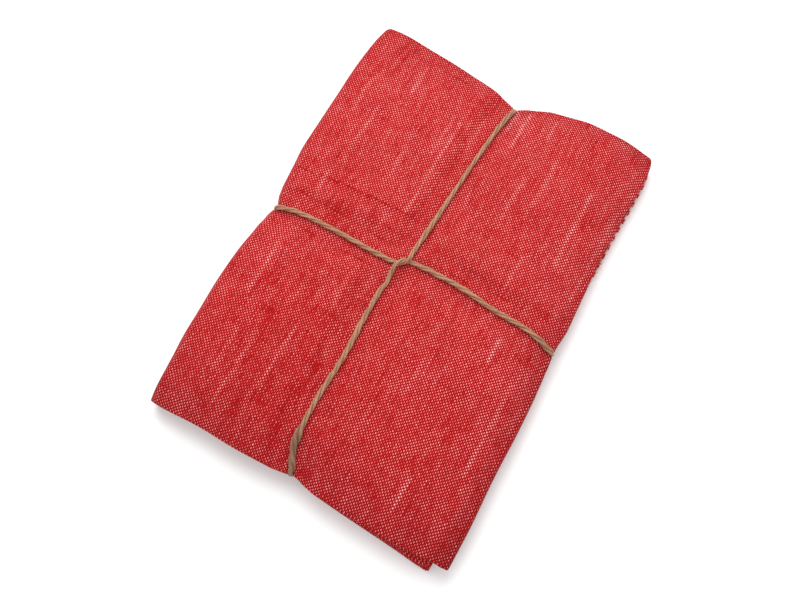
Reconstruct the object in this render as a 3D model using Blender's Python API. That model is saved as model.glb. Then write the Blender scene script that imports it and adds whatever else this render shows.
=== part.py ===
"""A tea towel folded to a flat packet and tied crosswise with one loop of jute twine.

The towel is one woven sheet, 500 mm by 700 mm. It is folded once across its width, so that its
long woven edges lie together on the near side, and then twice along its length. The packet has
four double passes, eight layers in all:

    pass 3, the top      joined to pass 0 round the outer turn on the left
    pass 2               joined to pass 3 round the small turn on the right
    pass 1               joined to pass 2 round the inner turn on the left
    pass 0, underneath   ends with pass 1 in the two hems on the right

X runs across the packet, Y along it and Z up. The origin is under the middle of the packet, on the
surface that it lies on. The script works in millimetres and scales to metres when it makes meshes.
"""

import math

import bmesh
import bpy

METRES = 0.001

# Driving sizes of the cloth, in millimetres
TOWEL_LENGTH = 700.0
TOWEL_WIDTH = 500.0
CLOTH = 1.0
LAYER_GAP = 0.3
LAYERS = 8
HALF_ACROSS = TOWEL_LENGTH / 8
HALF_ALONG = TOWEL_WIDTH / 4
PRESSED = LAYERS * CLOTH + (LAYERS - 1) * LAYER_GAP + 0.1

# Driving sizes of the twine, in millimetres
TWINE_RADIUS = 1.25
KNUCKLE_RADIUS = 1.0
KNUCKLE_REACH = 10.0
KNUCKLE_FLAT = 3.5
CROSSING_STEPS = 8
TWINE_CLEAR = 0.4
FLOOR_CLEAR = 0.2
TWINE_STEP = 6.0
EDGE_ROUNDING = 1.3
EDGE_STOP = 3.0

# The packet's box has its middle at the origin after this move
CENTRING = (0.54, 1.55)

# Outline of the packet. Each row gives a place along an edge, as a share of the packet's half size,
# and how far the edge stands out there from the plain folded size, in millimetres.
LEFT_EDGE = (
    (-1.01, -6.5),
    (-0.88, -4.6),
    (-0.72, -2.9),
    (-0.46, -1.3),
    (-0.32, -1.0),
    (-0.19, -1.8),
    (-0.06, -3.0),
    (0.06, -1.2),
    (0.19, 1.0),
    (0.40, 1.9),
    (0.72, 1.6),
    (0.86, 0.3),
    (0.94, -1.2),
    (0.99, -3.5),
)
RIGHT_FOLD = (
    (-1.01, 0.9),
    (-0.78, 0.6),
    (-0.59, 0.0),
    (-0.40, 0.0),
    (-0.21, -0.9),
    (-0.03, -2.2),
    (0.11, -1.9),
    (0.30, -3.1),
    (0.56, -3.0),
    (0.80, -2.0),
    (0.90, -2.4),
    (0.96, -3.6),
    (1.00, -6.5),
)
HEM_EDGE = (
    (-1.01, -6.7),
    (-0.72, -5.5),
    (-0.40, -4.3),
    (-0.03, -4.2),
    (0.24, -3.2),
    (0.38, -2.1),
    (0.60, -1.9),
    (0.75, -0.9),
    (0.84, -0.6),
    (0.89, -0.9),
    (0.94, -1.8),
    (0.99, -4.5),
)
FAR_EDGE = (
    (-1.00, -9.2),
    (-0.96, -6.8),
    (-0.80, -5.6),
    (-0.60, -6.0),
    (-0.32, -8.3),
    (-0.11, -9.8),
    (0.05, -10.0),
    (0.16, -7.6),
    (0.30, -4.4),
    (0.43, -1.8),
    (0.57, -0.9),
    (0.73, -1.2),
    (0.85, -2.0),
    (0.92, -3.0),
    (0.96, -5.0),
    (1.00, -9.0),
)
NEAR_EDGE = (
    (-0.98, 1.8),
    (-0.80, 1.7),
    (-0.59, 0.4),
    (-0.32, 0.8),
    (-0.11, 1.2),
    (0.00, 0.9),
    (0.16, 0.3),
    (0.43, 0.7),
    (0.69, 1.6),
    (0.93, 2.2),
    (1.02, 2.2),
)

# The twine's two lines over the packet, seen from above, in millimetres: along the packet and across it
LONG_LINE = (
    (106.0, 4.1),
    (95.0, 2.0),
    (76.0, 0.2),
    (50.0, -1.2),
    (20.0, -2.8),
    (4.0, -3.7),
    (-10.0, -8.1),
    (-22.0, -8.6),
    (-40.0, -7.7),
    (-58.0, -6.4),
    (-86.0, -6.8),
    (-105.0, -5.2),
    (-118.0, -0.4),
)
CROSS_LINE = (
    (-79.0, -6.9),
    (-73.0, -5.6),
    (-60.0, -4.1),
    (-36.0, -3.7),
    (-14.0, -3.4),
    (0.0, 1.4),
    (12.0, 1.7),
    (27.0, 1.8),
    (47.0, -0.3),
    (65.0, -0.8),
    (74.0, -2.3),
    (81.0, -4.9),
)

# Where the twine pulls an edge in: depth of the pull and how far along the edge it reaches
PULLS = {
    "left": (6.3, 3.8),
    "right": (3.8, 5.0),
    "far": (8.6, 6.0),
    "near": (5.0, 4.5),
}
SEAT_HALF_WIDTH = 2.4
GROOVE_REACH = 13.0

# Height of the loose packet between the twine, and how much each edge rolls down from it
LOOSE_HEIGHT = 15.4
CROWNS = (
    # across, along, extra height, reach
    (-44.0, 62.0, 1.1, 40.0),
    (38.0, 64.0, 1.7, 36.0),
    (46.0, -64.0, 1.2, 38.0),
    (-46.0, -66.0, 0.8, 40.0),
    (-82.0, 118.0, 1.6, 18.0),
)
ROLLS = {
    # edge: how far in the roll starts, then rows of place along the edge and drop
    "left": (20.0, ((-1.0, 2.6), (-0.3, 2.2), (0.5, 2.0), (1.0, 0.6))),
    "right": (28.0, ((-1.0, 2.4), (-0.4, 3.2), (0.3, 4.4), (0.8, 4.8), (1.0, 5.0))),
    "far": (16.0, ((-1.0, 0.6), (-0.5, 1.6), (0.1, 3.2), (0.5, 2.2), (1.0, 2.6))),
    "near": (12.0, ((-1.0, 2.0), (0.0, 1.4), (1.0, 2.2))),
}

# How far each layer is set back from the near and far edge of the packet, in millimetres
SET_BACK = (
    # pass, cloth side, near edge at the left, near edge at the right, far edge
    (0, "outer", 0.4, 0.8, 1.1),
    (0, "inner", 1.3, 0.0, 1.1),
    (1, "outer", 0.2, 1.6, 0.3),
    (1, "inner", 0.9, 0.6, 0.3),
    (2, "outer", 1.6, 4.6, 0.9),
    (2, "inner", 2.1, 5.0, 0.9),
    (3, "outer", 0.0, 4.2, 0.0),
    (3, "inner", 0.8, 4.6, 0.0),
)
HEM_STEP = (
    # pass, cloth side, how far its hem is set back from the packet's hem line
    (0, "outer", 0.9),
    (0, "inner", 0.0),
    (1, "outer", 0.5),
    (1, "inner", 1.3),
)

# Places of the mesh rows on each side of the twine, as shares of the way out to the edge
ACROSS_ROWS = (0.023, 0.08, 0.185, 0.36, 0.60, 0.84, 1.0)
ALONG_ROWS = (0.017, 0.055, 0.12, 0.27, 0.50, 0.74, 0.93, 1.0)
OUTER_TURN_STEPS = 6
SMALL_TURN_STEPS = 4
OUTER_TURN_DEPTH = 4.4
INNER_TURN_CLEAR = 1.2


def smooth_rows(rows, place):
    """Height of the smooth curve through rows of (place, value), level beyond its ends."""
    rows = sorted(rows)
    if place <= rows[0][0]:
        return rows[0][1]
    if place >= rows[-1][0]:
        return rows[-1][1]
    last = len(rows) - 1
    k = max(i for i in range(last) if rows[i][0] <= place)

    def slope(i):
        low, high = rows[max(i - 1, 0)], rows[min(i + 1, last)]
        return (high[1] - low[1]) / (high[0] - low[0])

    width = rows[k + 1][0] - rows[k][0]
    t = (place - rows[k][0]) / width
    start = (1 + 2 * t) * (1 - t) ** 2 * rows[k][1] + t * (1 - t) ** 2 * width * slope(k)
    end = t * t * (3 - 2 * t) * rows[k + 1][1] - t * t * (1 - t) * width * slope(k + 1)
    return start + end


def long_line(y):
    """Place across of the twine that runs along the packet."""
    return smooth_rows(LONG_LINE, y)


def cross_line(x):
    """Place along of the twine that runs across the packet."""
    return smooth_rows(CROSS_LINE, x)


def pull(edge, distance):
    """How far the twine pulls an edge in, at a distance along the edge from the twine."""
    depth, reach = PULLS[edge]
    beyond = max(abs(distance) - SEAT_HALF_WIDTH, 0.0)
    return depth * math.exp(-beyond / reach)


def left_edge(y):
    return -(HALF_ACROSS + smooth_rows(LEFT_EDGE, y / HALF_ALONG)) + pull("left", y - cross_line(-HALF_ACROSS))


def right_edge(y, hem):
    rows = HEM_EDGE if hem else RIGHT_FOLD
    return HALF_ACROSS + smooth_rows(rows, y / HALF_ALONG) - pull("right", y - cross_line(HALF_ACROSS))


def far_edge(x):
    return HALF_ALONG + smooth_rows(FAR_EDGE, x / HALF_ACROSS) - pull("far", x - long_line(HALF_ALONG))


def near_edge(x):
    return -(HALF_ALONG + smooth_rows(NEAR_EDGE, x / HALF_ACROSS)) + pull("near", x - long_line(-HALF_ALONG))


def groove(distance):
    """One on the twine's seat, falling softly to nothing at the groove's reach."""
    beyond = max(abs(distance) - SEAT_HALF_WIDTH, 0.0) / GROOVE_REACH
    return (1 - beyond * beyond) ** 2 if beyond < 1 else 0.0


def underside(x, y):
    """Height of the packet's underside: flat on the surface, arched over the twine beneath it."""
    along = groove(x - long_line(y))
    across = groove(y - cross_line(x))
    one_strand = FLOOR_CLEAR + 2 * TWINE_RADIUS + TWINE_CLEAR
    two_strands = FLOOR_CLEAR + 4 * KNUCKLE_RADIUS + 2 * TWINE_CLEAR
    return one_strand * (1 - (1 - along) * (1 - across)) + (two_strands - one_strand) * along * across


def roll(edge, inwards, place):
    reach, rows = ROLLS[edge]
    share = max(1 - max(inwards, 0.0) / reach, 0.0)
    return smooth_rows(rows, place) * share * share


def topside(x, y):
    """Height of the packet's upper face, pressed down under the twine and rolled down at the edges."""
    low = underside(x, y)
    loose = LOOSE_HEIGHT
    for across, along, extra, reach in CROWNS:
        loose += extra * math.exp(-((x - across) ** 2 + (y - along) ** 2) / reach ** 2)
    loose -= roll("left", x - left_edge(y), y / HALF_ALONG)
    loose -= roll("right", right_edge(y, False) - x, y / HALF_ALONG)
    loose -= roll("far", far_edge(x) - y, x / HALF_ACROSS)
    loose -= roll("near", y - near_edge(x), x / HALF_ACROSS)
    held = 1 - (1 - groove(x - long_line(y))) * (1 - groove(y - cross_line(x)))
    return max(loose + (low + PRESSED - loose) * held, low + PRESSED)


def layer_pitch(x, y):
    """Rise from the middle of one layer to the middle of the next."""
    return (topside(x, y) - underside(x, y) - CLOTH) / (LAYERS - 1)


def pass_ends(level, y):
    """Places across where the flat of a pass begins and ends, inside its turns."""
    left = left_edge(y)
    right = right_edge(y, level in (0, 1))
    pitch = layer_pitch(left, y)
    if level in (0, 3):
        left += OUTER_TURN_DEPTH + (pitch + CLOTH) / 2
    else:
        left += 2.5 * pitch + 1.5 * CLOTH + INNER_TURN_CLEAR
    if level in (2, 3):
        pitch = layer_pitch(right, y)
        right -= 1.5 * pitch + CLOTH / 2
    return left, right


def rows_out(shares):
    """The rows from one edge to the other: outwards shares on both sides of the twine."""
    return [-share for share in reversed(shares)] + list(shares)


def path_stations():
    """Stations along the towel's length, from the hem of pass 0 to the hem of pass 1."""
    flat = rows_out(ACROSS_ROWS)
    stations = [("flat", 0, share) for share in reversed(flat)]
    stations += [("turn", "outer", k / OUTER_TURN_STEPS) for k in range(1, OUTER_TURN_STEPS)]
    stations += [("flat", 3, share) for share in flat]
    stations += [("turn", "right", k / SMALL_TURN_STEPS) for k in range(1, SMALL_TURN_STEPS)]
    stations += [("flat", 2, share) for share in reversed(flat)]
    stations += [("turn", "inner", k / SMALL_TURN_STEPS) for k in range(1, SMALL_TURN_STEPS)]
    stations += [("flat", 1, share) for share in flat]
    return stations


def width_stations():
    """Stations over the towel's width: near edge to far fold in the outer cloth, and back in the inner."""
    flat = rows_out(ALONG_ROWS)
    stations = [(share, 90.0) for share in flat]
    stations += [(1.0, angle) for angle in (45.0, 0.0, -45.0)]
    stations += [(share, -90.0) for share in reversed(flat)]
    return stations


def set_back(level, side, share_across):
    """Set-back of a layer's near edge and of its far fold, at a share of the way across."""
    for row_level, row_side, near_left, near_right, far in SET_BACK:
        if (row_level, row_side) == (level, side):
            return near_left + (near_right - near_left) * (share_across + 1) / 2, far
    raise ValueError("no such layer")


def hem_step(level, side):
    return next(step for row_level, row_side, step in HEM_STEP if (row_level, row_side) == (level, side))


def place_along(share, x, near_back, far_back, round_radius):
    """Place along of a width station, measured both ways from the twine that runs across."""
    middle = cross_line(x)
    if share < 0:
        return middle - share * (near_edge(x) + near_back - middle)
    return middle + share * (far_edge(x) - far_back - round_radius - middle)


TURNS = {
    # name: pass it leaves, pass it reaches, side of the packet
    "outer": (0, 3, "left"),
    "right": (3, 2, "right"),
    "inner": (2, 1, "left"),
}


def cloth_point(station, width_station, face):
    """One point of the cloth. face is +1 on the towel's outer side and -1 on its inner side."""
    share_along, angle = width_station
    side = "outer" if angle >= 0 else "inner"
    kind, which, share = station
    if kind == "flat":
        x, y, z, normal = flat_middle(which, side, share, share_along)
    else:
        x, y, z, normal = turn_middle(which, side, share, share_along)
    return layer_point(x, y, z, normal, angle, face)


def flat_middle(level, side, share, share_along):
    """Middle of the double cloth at a station on a pass, with its direction out and its pitch."""
    y = share_along * HALF_ALONG
    for _ in range(2):
        ends = pass_ends(level, y)
        end = ends[0] if share < 0 else ends[1]
        if level in (0, 1) and share > 0:
            end -= hem_step(level, side)
        middle = long_line(y)
        x = middle + abs(share) * (end - middle)
        near_back, far_back = set_back(level, side, share)
        pitch = layer_pitch(x, y)
        y = place_along(share_along, x, near_back, far_back, (pitch + CLOTH) / 2)
    low = underside(x, y)
    pitch = layer_pitch(x, y)
    z = low + CLOTH / 2 + (2 * level + 0.5) * pitch
    up = 1.0 if level in (1, 3) else -1.0
    return x, y, z, (0.0, up, pitch)


def turn_middle(name, side, share, share_along):
    """Middle of the double cloth part of the way round a turn."""
    first, last, edge = TURNS[name]
    end = -1.0 if edge == "left" else 1.0
    x, y_first, z_first, shape = flat_middle(first, side, end, share_along)
    _, y_last, z_last, _ = flat_middle(last, side, end, share_along)
    pitch = shape[2]
    half_height = abs(z_last - z_first) / 2
    depth = OUTER_TURN_DEPTH if name == "outer" else half_height
    angle = math.pi * share
    sweep = 1.0 if z_last > z_first else -1.0
    z = (z_first + z_last) / 2 - sweep * half_height * math.cos(angle)
    x += end * depth * math.sin(angle)
    y = y_first + (y_last - y_first) * share
    out_x = end * math.sin(angle) * half_height
    out_z = -sweep * math.cos(angle) * depth
    length = math.hypot(out_x, out_z)
    flip = -1.0 if name == "inner" else 1.0
    return x, y, z, (flip * out_x / length, flip * out_z / length, pitch)


def layer_point(x, y, z, normal, angle, face):
    """Step off the middle of the double cloth to one face of a layer, or round the far fold."""
    normal_x, normal_z, pitch = normal
    radius = pitch / 2 + face * CLOTH / 2
    off = radius * math.sin(math.radians(angle))
    y += radius * math.cos(math.radians(angle))
    return (x + off * normal_x, y, z + off * normal_z)


def to_metres(point):
    shift_x, shift_y = CENTRING
    return ((point[0] + shift_x) * METRES, (point[1] + shift_y) * METRES, point[2] * METRES)


def make_material(name, colour, roughness):
    material = bpy.data.materials.new(name)
    material.use_nodes = True
    shader = material.node_tree.nodes["Principled BSDF"]
    shader.inputs["Base Color"].default_value = (*colour, 1.0)
    shader.inputs["Roughness"].default_value = roughness
    shader.inputs["Metallic"].default_value = 0.0
    material.diffuse_color = (*colour, 1.0)
    return material


def make_towel():
    """The folded sheet as one closed body: two faces and its four edges."""
    path = path_stations()
    width = width_stations()
    mesh = bmesh.new()
    faces = {}
    for face in (1, -1):
        faces[face] = [
            [mesh.verts.new(to_metres(cloth_point(along, over, face))) for over in width] for along in path
        ]
    for i in range(len(path) - 1):
        for j in range(len(width) - 1):
            for grid in faces.values():
                mesh.faces.new((grid[i][j], grid[i + 1][j], grid[i + 1][j + 1], grid[i][j + 1]))
    outer, inner = faces[1], faces[-1]
    for i in (0, len(path) - 1):
        for j in range(len(width) - 1):
            mesh.faces.new((outer[i][j], outer[i][j + 1], inner[i][j + 1], inner[i][j]))
    for j in (0, len(width) - 1):
        for i in range(len(path) - 1):
            mesh.faces.new((outer[i][j], outer[i + 1][j], inner[i + 1][j], inner[i][j]))
    bmesh.ops.recalc_face_normals(mesh, faces=mesh.faces)
    data = bpy.data.meshes.new("towel")
    mesh.to_mesh(data)
    mesh.free()
    data.shade_smooth()
    towel = bpy.data.objects.new("towel", data)
    bpy.context.collection.objects.link(towel)
    data.materials.append(make_material("red and white woven cotton", (0.62, 0.045, 0.05), 0.92))
    return towel


# The top crossing: each strand goes over the other once. Rows give across, along and how far the
# strand is lifted, from 0 against the cloth to 1 over the other strand.
FAR_TO_LEFT = (
    (-3.2, 9.0, 0.0),
    (-3.4, 5.2, 0.6),
    (-3.2, 2.2, 1.05),
    (-3.4, -0.4, 1.05),
    (-4.9, -2.8, 0.45),
    (-7.2, -3.6, -0.05),
    (-10.4, -3.7, 0.0),
)
NEAR_TO_RIGHT = (
    (-8.4, -11.5, 0.0),
    (-8.6, -7.4, 0.6),
    (-8.4, -4.4, 1.0),
    (-7.7, -1.8, 1.0),
    (-6.3, 0.1, 0.5),
    (-4.0, 1.3, 0.0),
    (-0.6, 1.6, 0.0),
)


def crossing():
    """Plan position where the twine's two lines cross beneath the packet."""
    x = y = 0.0
    for _ in range(CROSSING_STEPS):
        x = long_line(y)
        y = cross_line(x)
    return x, y


def knuckle(x, y):
    """One at the twine's crossing beneath the packet, falling to nothing a little way off."""
    middle_x, middle_y = crossing()
    away = max(math.hypot(x - middle_x, y - middle_y) - KNUCKLE_FLAT, 0.0) / KNUCKLE_REACH
    return (1 - away * away) ** 2 if away < 1 else 0.0


def over_cloth(x, y, lift):
    """A point of the twine's middle line on the packet's upper face."""
    radius = TWINE_RADIUS
    if lift is not None:
        radius = KNUCKLE_RADIUS
    rise = (2 * KNUCKLE_RADIUS + TWINE_CLEAR) * (lift or 0.0)
    return (x, y, topside(x, y) + TWINE_CLEAR + radius + rise, radius)


def under_cloth(x, y, lifted):
    """A point of the twine's middle line beneath the packet."""
    squeeze = knuckle(x, y)
    radius = TWINE_RADIUS + (KNUCKLE_RADIUS - TWINE_RADIUS) * squeeze
    rise = (2 * KNUCKLE_RADIUS + TWINE_CLEAR) * squeeze if lifted else 0.0
    return (x, y, FLOOR_CLEAR + radius + rise, radius)


def round_edge(edge_point, outwards):
    """The twine going down over an edge of the packet, from above it to below it."""
    x, y = edge_point
    step_x, step_y = outwards
    stand_off = TWINE_RADIUS + TWINE_CLEAR
    top = topside(x - step_x * EDGE_ROUNDING, y - step_y * EDGE_ROUNDING) - EDGE_ROUNDING
    low = underside(x, y) + EDGE_ROUNDING
    points = []
    for middle, angles in ((top, (90, 60, 30, 0)), (low, (0, -30, -60, -90))):
        for angle in angles:
            out = -EDGE_ROUNDING + (EDGE_ROUNDING + stand_off) * math.cos(math.radians(angle))
            rise = (EDGE_ROUNDING + stand_off) * math.sin(math.radians(angle))
            points.append((x + step_x * out, y + step_y * out, middle + rise, TWINE_RADIUS))
    return points


def stretch(start, end, count):
    """Places between two values, both left out."""
    return [start + (end - start) * k / (count + 1) for k in range(1, count + 1)]


def twine_route():
    """The closed route of the twine's middle line, once round the packet each way."""
    far = far_edge(long_line(HALF_ALONG))
    near = near_edge(long_line(-HALF_ALONG))
    left = left_edge(cross_line(-HALF_ACROSS))
    right = right_edge(cross_line(HALF_ACROSS), False)
    route = []
    for y in stretch(FAR_TO_LEFT[0][1], far - EDGE_STOP, round((far - FAR_TO_LEFT[0][1]) / TWINE_STEP)):
        route.append(over_cloth(long_line(y), y, None))
    route += round_edge((long_line(far), far), (0, 1))
    for y in stretch(far - EDGE_STOP, near + EDGE_STOP, round((far - near) / TWINE_STEP)):
        route.append(under_cloth(long_line(y), y, True))
    route += reversed(round_edge((long_line(near), near), (0, -1)))
    for y in stretch(near + EDGE_STOP, NEAR_TO_RIGHT[0][1], round((NEAR_TO_RIGHT[0][1] - near) / TWINE_STEP)):
        route.append(over_cloth(long_line(y), y, None))
    route += [over_cloth(*row) for row in NEAR_TO_RIGHT]
    for x in stretch(NEAR_TO_RIGHT[-1][0], right - EDGE_STOP, round((right - NEAR_TO_RIGHT[-1][0]) / TWINE_STEP)):
        route.append(over_cloth(x, cross_line(x), None))
    route += round_edge((right, cross_line(right)), (1, 0))
    for x in stretch(right - EDGE_STOP, left + EDGE_STOP, round((right - left) / TWINE_STEP)):
        route.append(under_cloth(x, cross_line(x), False))
    route += reversed(round_edge((left, cross_line(left)), (-1, 0)))
    for x in stretch(left + EDGE_STOP, FAR_TO_LEFT[-1][0], round((FAR_TO_LEFT[-1][0] - left) / TWINE_STEP)):
        route.append(over_cloth(x, cross_line(x), None))
    route += [over_cloth(*row) for row in reversed(FAR_TO_LEFT)]
    return route


def make_twine():
    """One closed loop of twine, round in section, a little squeezed where it crosses itself."""
    route = twine_route()
    curve = bpy.data.curves.new("twine", "CURVE")
    curve.dimensions = "3D"
    curve.bevel_depth = TWINE_RADIUS * METRES
    curve.bevel_resolution = 2
    curve.render_resolution_u = 0
    spline = curve.splines.new("POLY")
    spline.points.add(len(route) - 1)
    for point, (x, y, z, radius) in zip(spline.points, route):
        point.co = (*to_metres((x, y, z)), 1.0)
        point.radius = radius / TWINE_RADIUS
    spline.use_cyclic_u = True
    spline.use_smooth = True
    twine = bpy.data.objects.new("twine", curve)
    bpy.context.collection.objects.link(twine)
    curve.materials.append(make_material("jute twine", (0.47, 0.29, 0.14), 0.85))
    return twine


def main():
    for thing in list(bpy.data.objects):
        bpy.data.objects.remove(thing, do_unlink=True)
    make_towel()
    make_twine()


main()
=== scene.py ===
"""Folded tea towel tied crosswise with one loop of jute twine: its cloth, hem stitches, twine and stage.

The towel is one woven sheet, 500 mm by 700 mm. It is folded once across its width, so that its
long woven edges lie together on the near side, and then twice along its length. The packet has
four double passes, eight layers in all:

    pass 3, the top      joined to pass 0 round the outer turn on the left
    pass 2               joined to pass 3 round the small turn on the right
    pass 1               joined to pass 2 round the inner turn on the left
    pass 0, underneath   ends with pass 1 in the two hems on the right

X runs across the packet, Y along it and Z up. Shapes are worked out in millimetres with whole
arrays of points at a time, and scaled to metres when a mesh is made.
"""

import math

import bmesh
import bpy
import numpy as np
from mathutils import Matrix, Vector


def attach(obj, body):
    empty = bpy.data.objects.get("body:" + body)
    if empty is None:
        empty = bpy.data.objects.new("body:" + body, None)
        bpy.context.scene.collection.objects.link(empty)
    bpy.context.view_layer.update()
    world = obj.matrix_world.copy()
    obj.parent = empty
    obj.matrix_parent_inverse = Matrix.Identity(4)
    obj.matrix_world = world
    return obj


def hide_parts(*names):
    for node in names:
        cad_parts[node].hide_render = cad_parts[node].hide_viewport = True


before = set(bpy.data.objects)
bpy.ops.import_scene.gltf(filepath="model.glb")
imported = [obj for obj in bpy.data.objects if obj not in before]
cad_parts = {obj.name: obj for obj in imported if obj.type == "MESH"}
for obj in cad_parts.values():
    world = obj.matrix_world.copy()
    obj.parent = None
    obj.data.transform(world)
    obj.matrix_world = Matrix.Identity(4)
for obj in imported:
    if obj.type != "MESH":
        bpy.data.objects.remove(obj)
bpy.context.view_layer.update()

bl_info = {
    "name": "Folded Tea Towel",
    "version": (1, 0, 0),
    "blender": (4, 5, 0),
    "location": "View3D > Sidebar > Tea Towel",
    "description": "Makes a folded slub cotton tea towel tied crosswise with jute twine",
    "category": "Add Mesh",
}

METRES = 0.001

# Cloth, in millimetres
TOWEL_LENGTH = 700.0
TOWEL_WIDTH = 500.0
CLOTH = 1.0
LAYER_GAP = 0.3
LAYERS = 8
HALF_ACROSS = TOWEL_LENGTH / 8
HALF_ALONG = TOWEL_WIDTH / 4
PRESSED_SLACK = 0.1
PRESSED = LAYERS * CLOTH + (LAYERS - 1) * LAYER_GAP + PRESSED_SLACK

# Twine, in millimetres
TWINE_RADIUS = 1.25
# The strands pressed together where they cross beneath the packet: their radius there, how far off
# they are full again, and how far they stay pressed
KNUCKLE_RADIUS = 1.0
KNUCKLE_REACH = 10.0
KNUCKLE_FLAT = 3.5
CROSSING_STEPS = 8
# Room between the twine and the cloth, and beneath the twine
TWINE_CLEAR = 0.4
FLOOR_CLEAR = 0.2
# Distance between the points of the twine's route, and radius of its bend over an edge
TWINE_STEP = 6.0
EDGE_ROUNDING = 1.3
# Distance from the cloth's edge to the middle line of the twine pressed into it
EDGE_STAND_OFF = {"left": 0.45, "right": 0.95, "far": 0.95, "near": 0.95}
# How far inside an edge the twine's route over and beneath the packet gives way to its bend
EDGE_STOP = 3.0

# The packet's box has its middle at the origin after this move
CENTRING = (0.54, 1.55)

# Outline of the packet. Each row gives a place along an edge, as a share of the packet's half size,
# and how far the edge stands out there from the plain folded size, in millimetres.
LEFT_EDGE = (
    (-1.01, -6.8),
    (-0.94, -5.7),
    (-0.81, -4.0),
    (-0.72, -2.7),
    (-0.60, -2.0),
    (-0.46, -1.0),
    (-0.36, -1.1),
    (-0.27, -1.6),
    (-0.19, -2.7),
    (-0.13, -3.5),
    (-0.095, -4.3),
    (-0.070, -5.4),
    (-0.055, -6.0),
    (-0.035, -5.0),
    (-0.010, -3.7),
    (0.02, -2.7),
    (0.08, -1.6),
    (0.15, -0.5),
    (0.25, 0.9),
    (0.40, 1.2),
    (0.56, 1.3),
    (0.72, 1.5),
    (0.86, 0.0),
    (0.94, -1.7),
    (0.99, -3.8),
)
RIGHT_FOLD = (
    (-1.015, -0.9),
    (-1.00, 0.3),
    (-0.975, 0.9),
    (-0.93, 1.0),
    (-0.78, 0.9),
    (-0.59, -0.1),
    (-0.40, -0.1),
    (-0.27, -0.4),
    (-0.18, -1.1),
    (-0.11, -1.4),
    (-0.07, -2.0),
    (-0.02, -2.5),
    (0.01, -2.3),
    (0.04, -1.8),
    (0.08, -1.7),
    (0.15, -2.1),
    (0.28, -2.8),
    (0.38, -3.7),
    (0.64, -3.7),
    (0.74, -2.9),
    (0.84, -2.1),
    (0.90, -2.3),
    (0.96, -3.4),
    (1.00, -6.5),
)
HEM_EDGE = (
    (-1.01, -6.1),
    (-0.72, -5.5),
    (-0.40, -4.3),
    (-0.03, -4.2),
    (0.24, -3.2),
    (0.30, -2.8),
    (0.40, -1.7),
    (0.50, -1.8),
    (0.60, -1.6),
    (0.68, -1.1),
    (0.84, -0.7),
    (0.89, -0.9),
    (0.94, -1.7),
    (0.99, -4.3),
)
FAR_EDGE = (
    (-1.00, -9.5),
    (-0.96, -7.2),
    (-0.80, -6.1),
    (-0.60, -7.0),
    (-0.45, -7.9),
    (-0.32, -9.1),
    (-0.20, -10.2),
    (-0.10, -11.7),
    (-0.05, -13.2),
    (0.00, -14.9),
    (0.03, -15.7),
    (0.06, -15.5),
    (0.085, -14.3),
    (0.11, -12.9),
    (0.14, -11.5),
    (0.18, -9.6),
    (0.24, -7.7),
    (0.30, -6.3),
    (0.43, -3.8),
    (0.50, -2.9),
    (0.65, -2.8),
    (0.80, -2.7),
    (0.92, -3.3),
    (0.96, -5.2),
    (1.00, -9.2),
)
NEAR_EDGE = (
    (-0.98, 0.3),
    (-0.94, 1.0),
    (-0.90, 1.4),
    (-0.80, 1.3),
    (-0.59, 0.4),
    (-0.40, 0.7),
    (-0.32, 0.7),
    (-0.20, 0.2),
    (-0.11, -0.2),
    (-0.07, -0.7),
    (-0.03, -1.6),
    (0.00, -2.2),
    (0.045, -2.3),
    (0.08, -1.4),
    (0.11, -0.7),
    (0.15, -0.1),
    (0.30, 0.6),
    (0.43, 1.0),
    (0.69, 1.7),
    (0.80, 2.2),
    (0.93, 2.9),
    (0.965, 3.2),
    (0.985, 2.9),
    (1.002, 1.5),
)

# The twine's two lines over the packet, seen from above, in millimetres: along the packet and across it
LONG_LINE = (
    (112.0, 5.0),
    (109.5, 4.1),
    (107.0, 3.5),
    (103.0, 2.9),
    (96.0, 1.7),
    (88.0, 0.8),
    (76.0, -0.1),
    (62.0, -0.9),
    (50.0, -1.4),
    (20.0, -2.8),
    (4.0, -3.7),
    (-10.0, -7.5),
    (-22.0, -8.0),
    (-40.0, -7.5),
    (-58.0, -6.4),
    (-86.0, -6.8),
    (-105.0, -5.4),
    (-114.0, -2.5),
    (-121.0, 1.0),
)
CROSS_LINE = (
    (-83.0, -8.8),
    (-79.0, -7.4),
    (-73.0, -5.6),
    (-60.0, -4.1),
    (-36.0, -3.7),
    (-14.0, -3.4),
    (0.0, 1.4),
    (12.0, 1.7),
    (27.0, 1.8),
    (47.0, -0.3),
    (65.0, -0.8),
    (74.0, -2.3),
    (81.0, -4.9),
)

# Where the twine goes over each edge: distance from the middle of the packet
TWINE_ENDS = {
    "left": -80.5,
    "right": 83.0,
    "far": 108.5,
    "near": -120.5,
}
# How far the twine moves along each edge as it goes over it
TWINE_LEANS = {
    "left": -0.6,
    "right": -0.4,
    "far": 0.8,
    "near": 0.3,
}
# Where the twine nips an edge in: depth of the nip
NIPS = {
    "left": 2.3,
    "right": 2.1,
    "far": 2.6,
    "near": 2.4,
}
# Half width of the nip's floor, and how far its sides take to come out again
NIP_FLOOR = 0.85
NIP_SIDE = 0.4
# Stations close to the twine, in millimetres to each side of it
NIP_STATIONS = (0.5, 0.9, 1.2, 1.5, 1.9, 2.7, 4.4)
# Half width of the cloth pressed flat under the twine, and how far the groove reaches beyond it
SEAT_HALF_WIDTH = 2.4
GROOVE_REACH = 13.0

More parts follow.
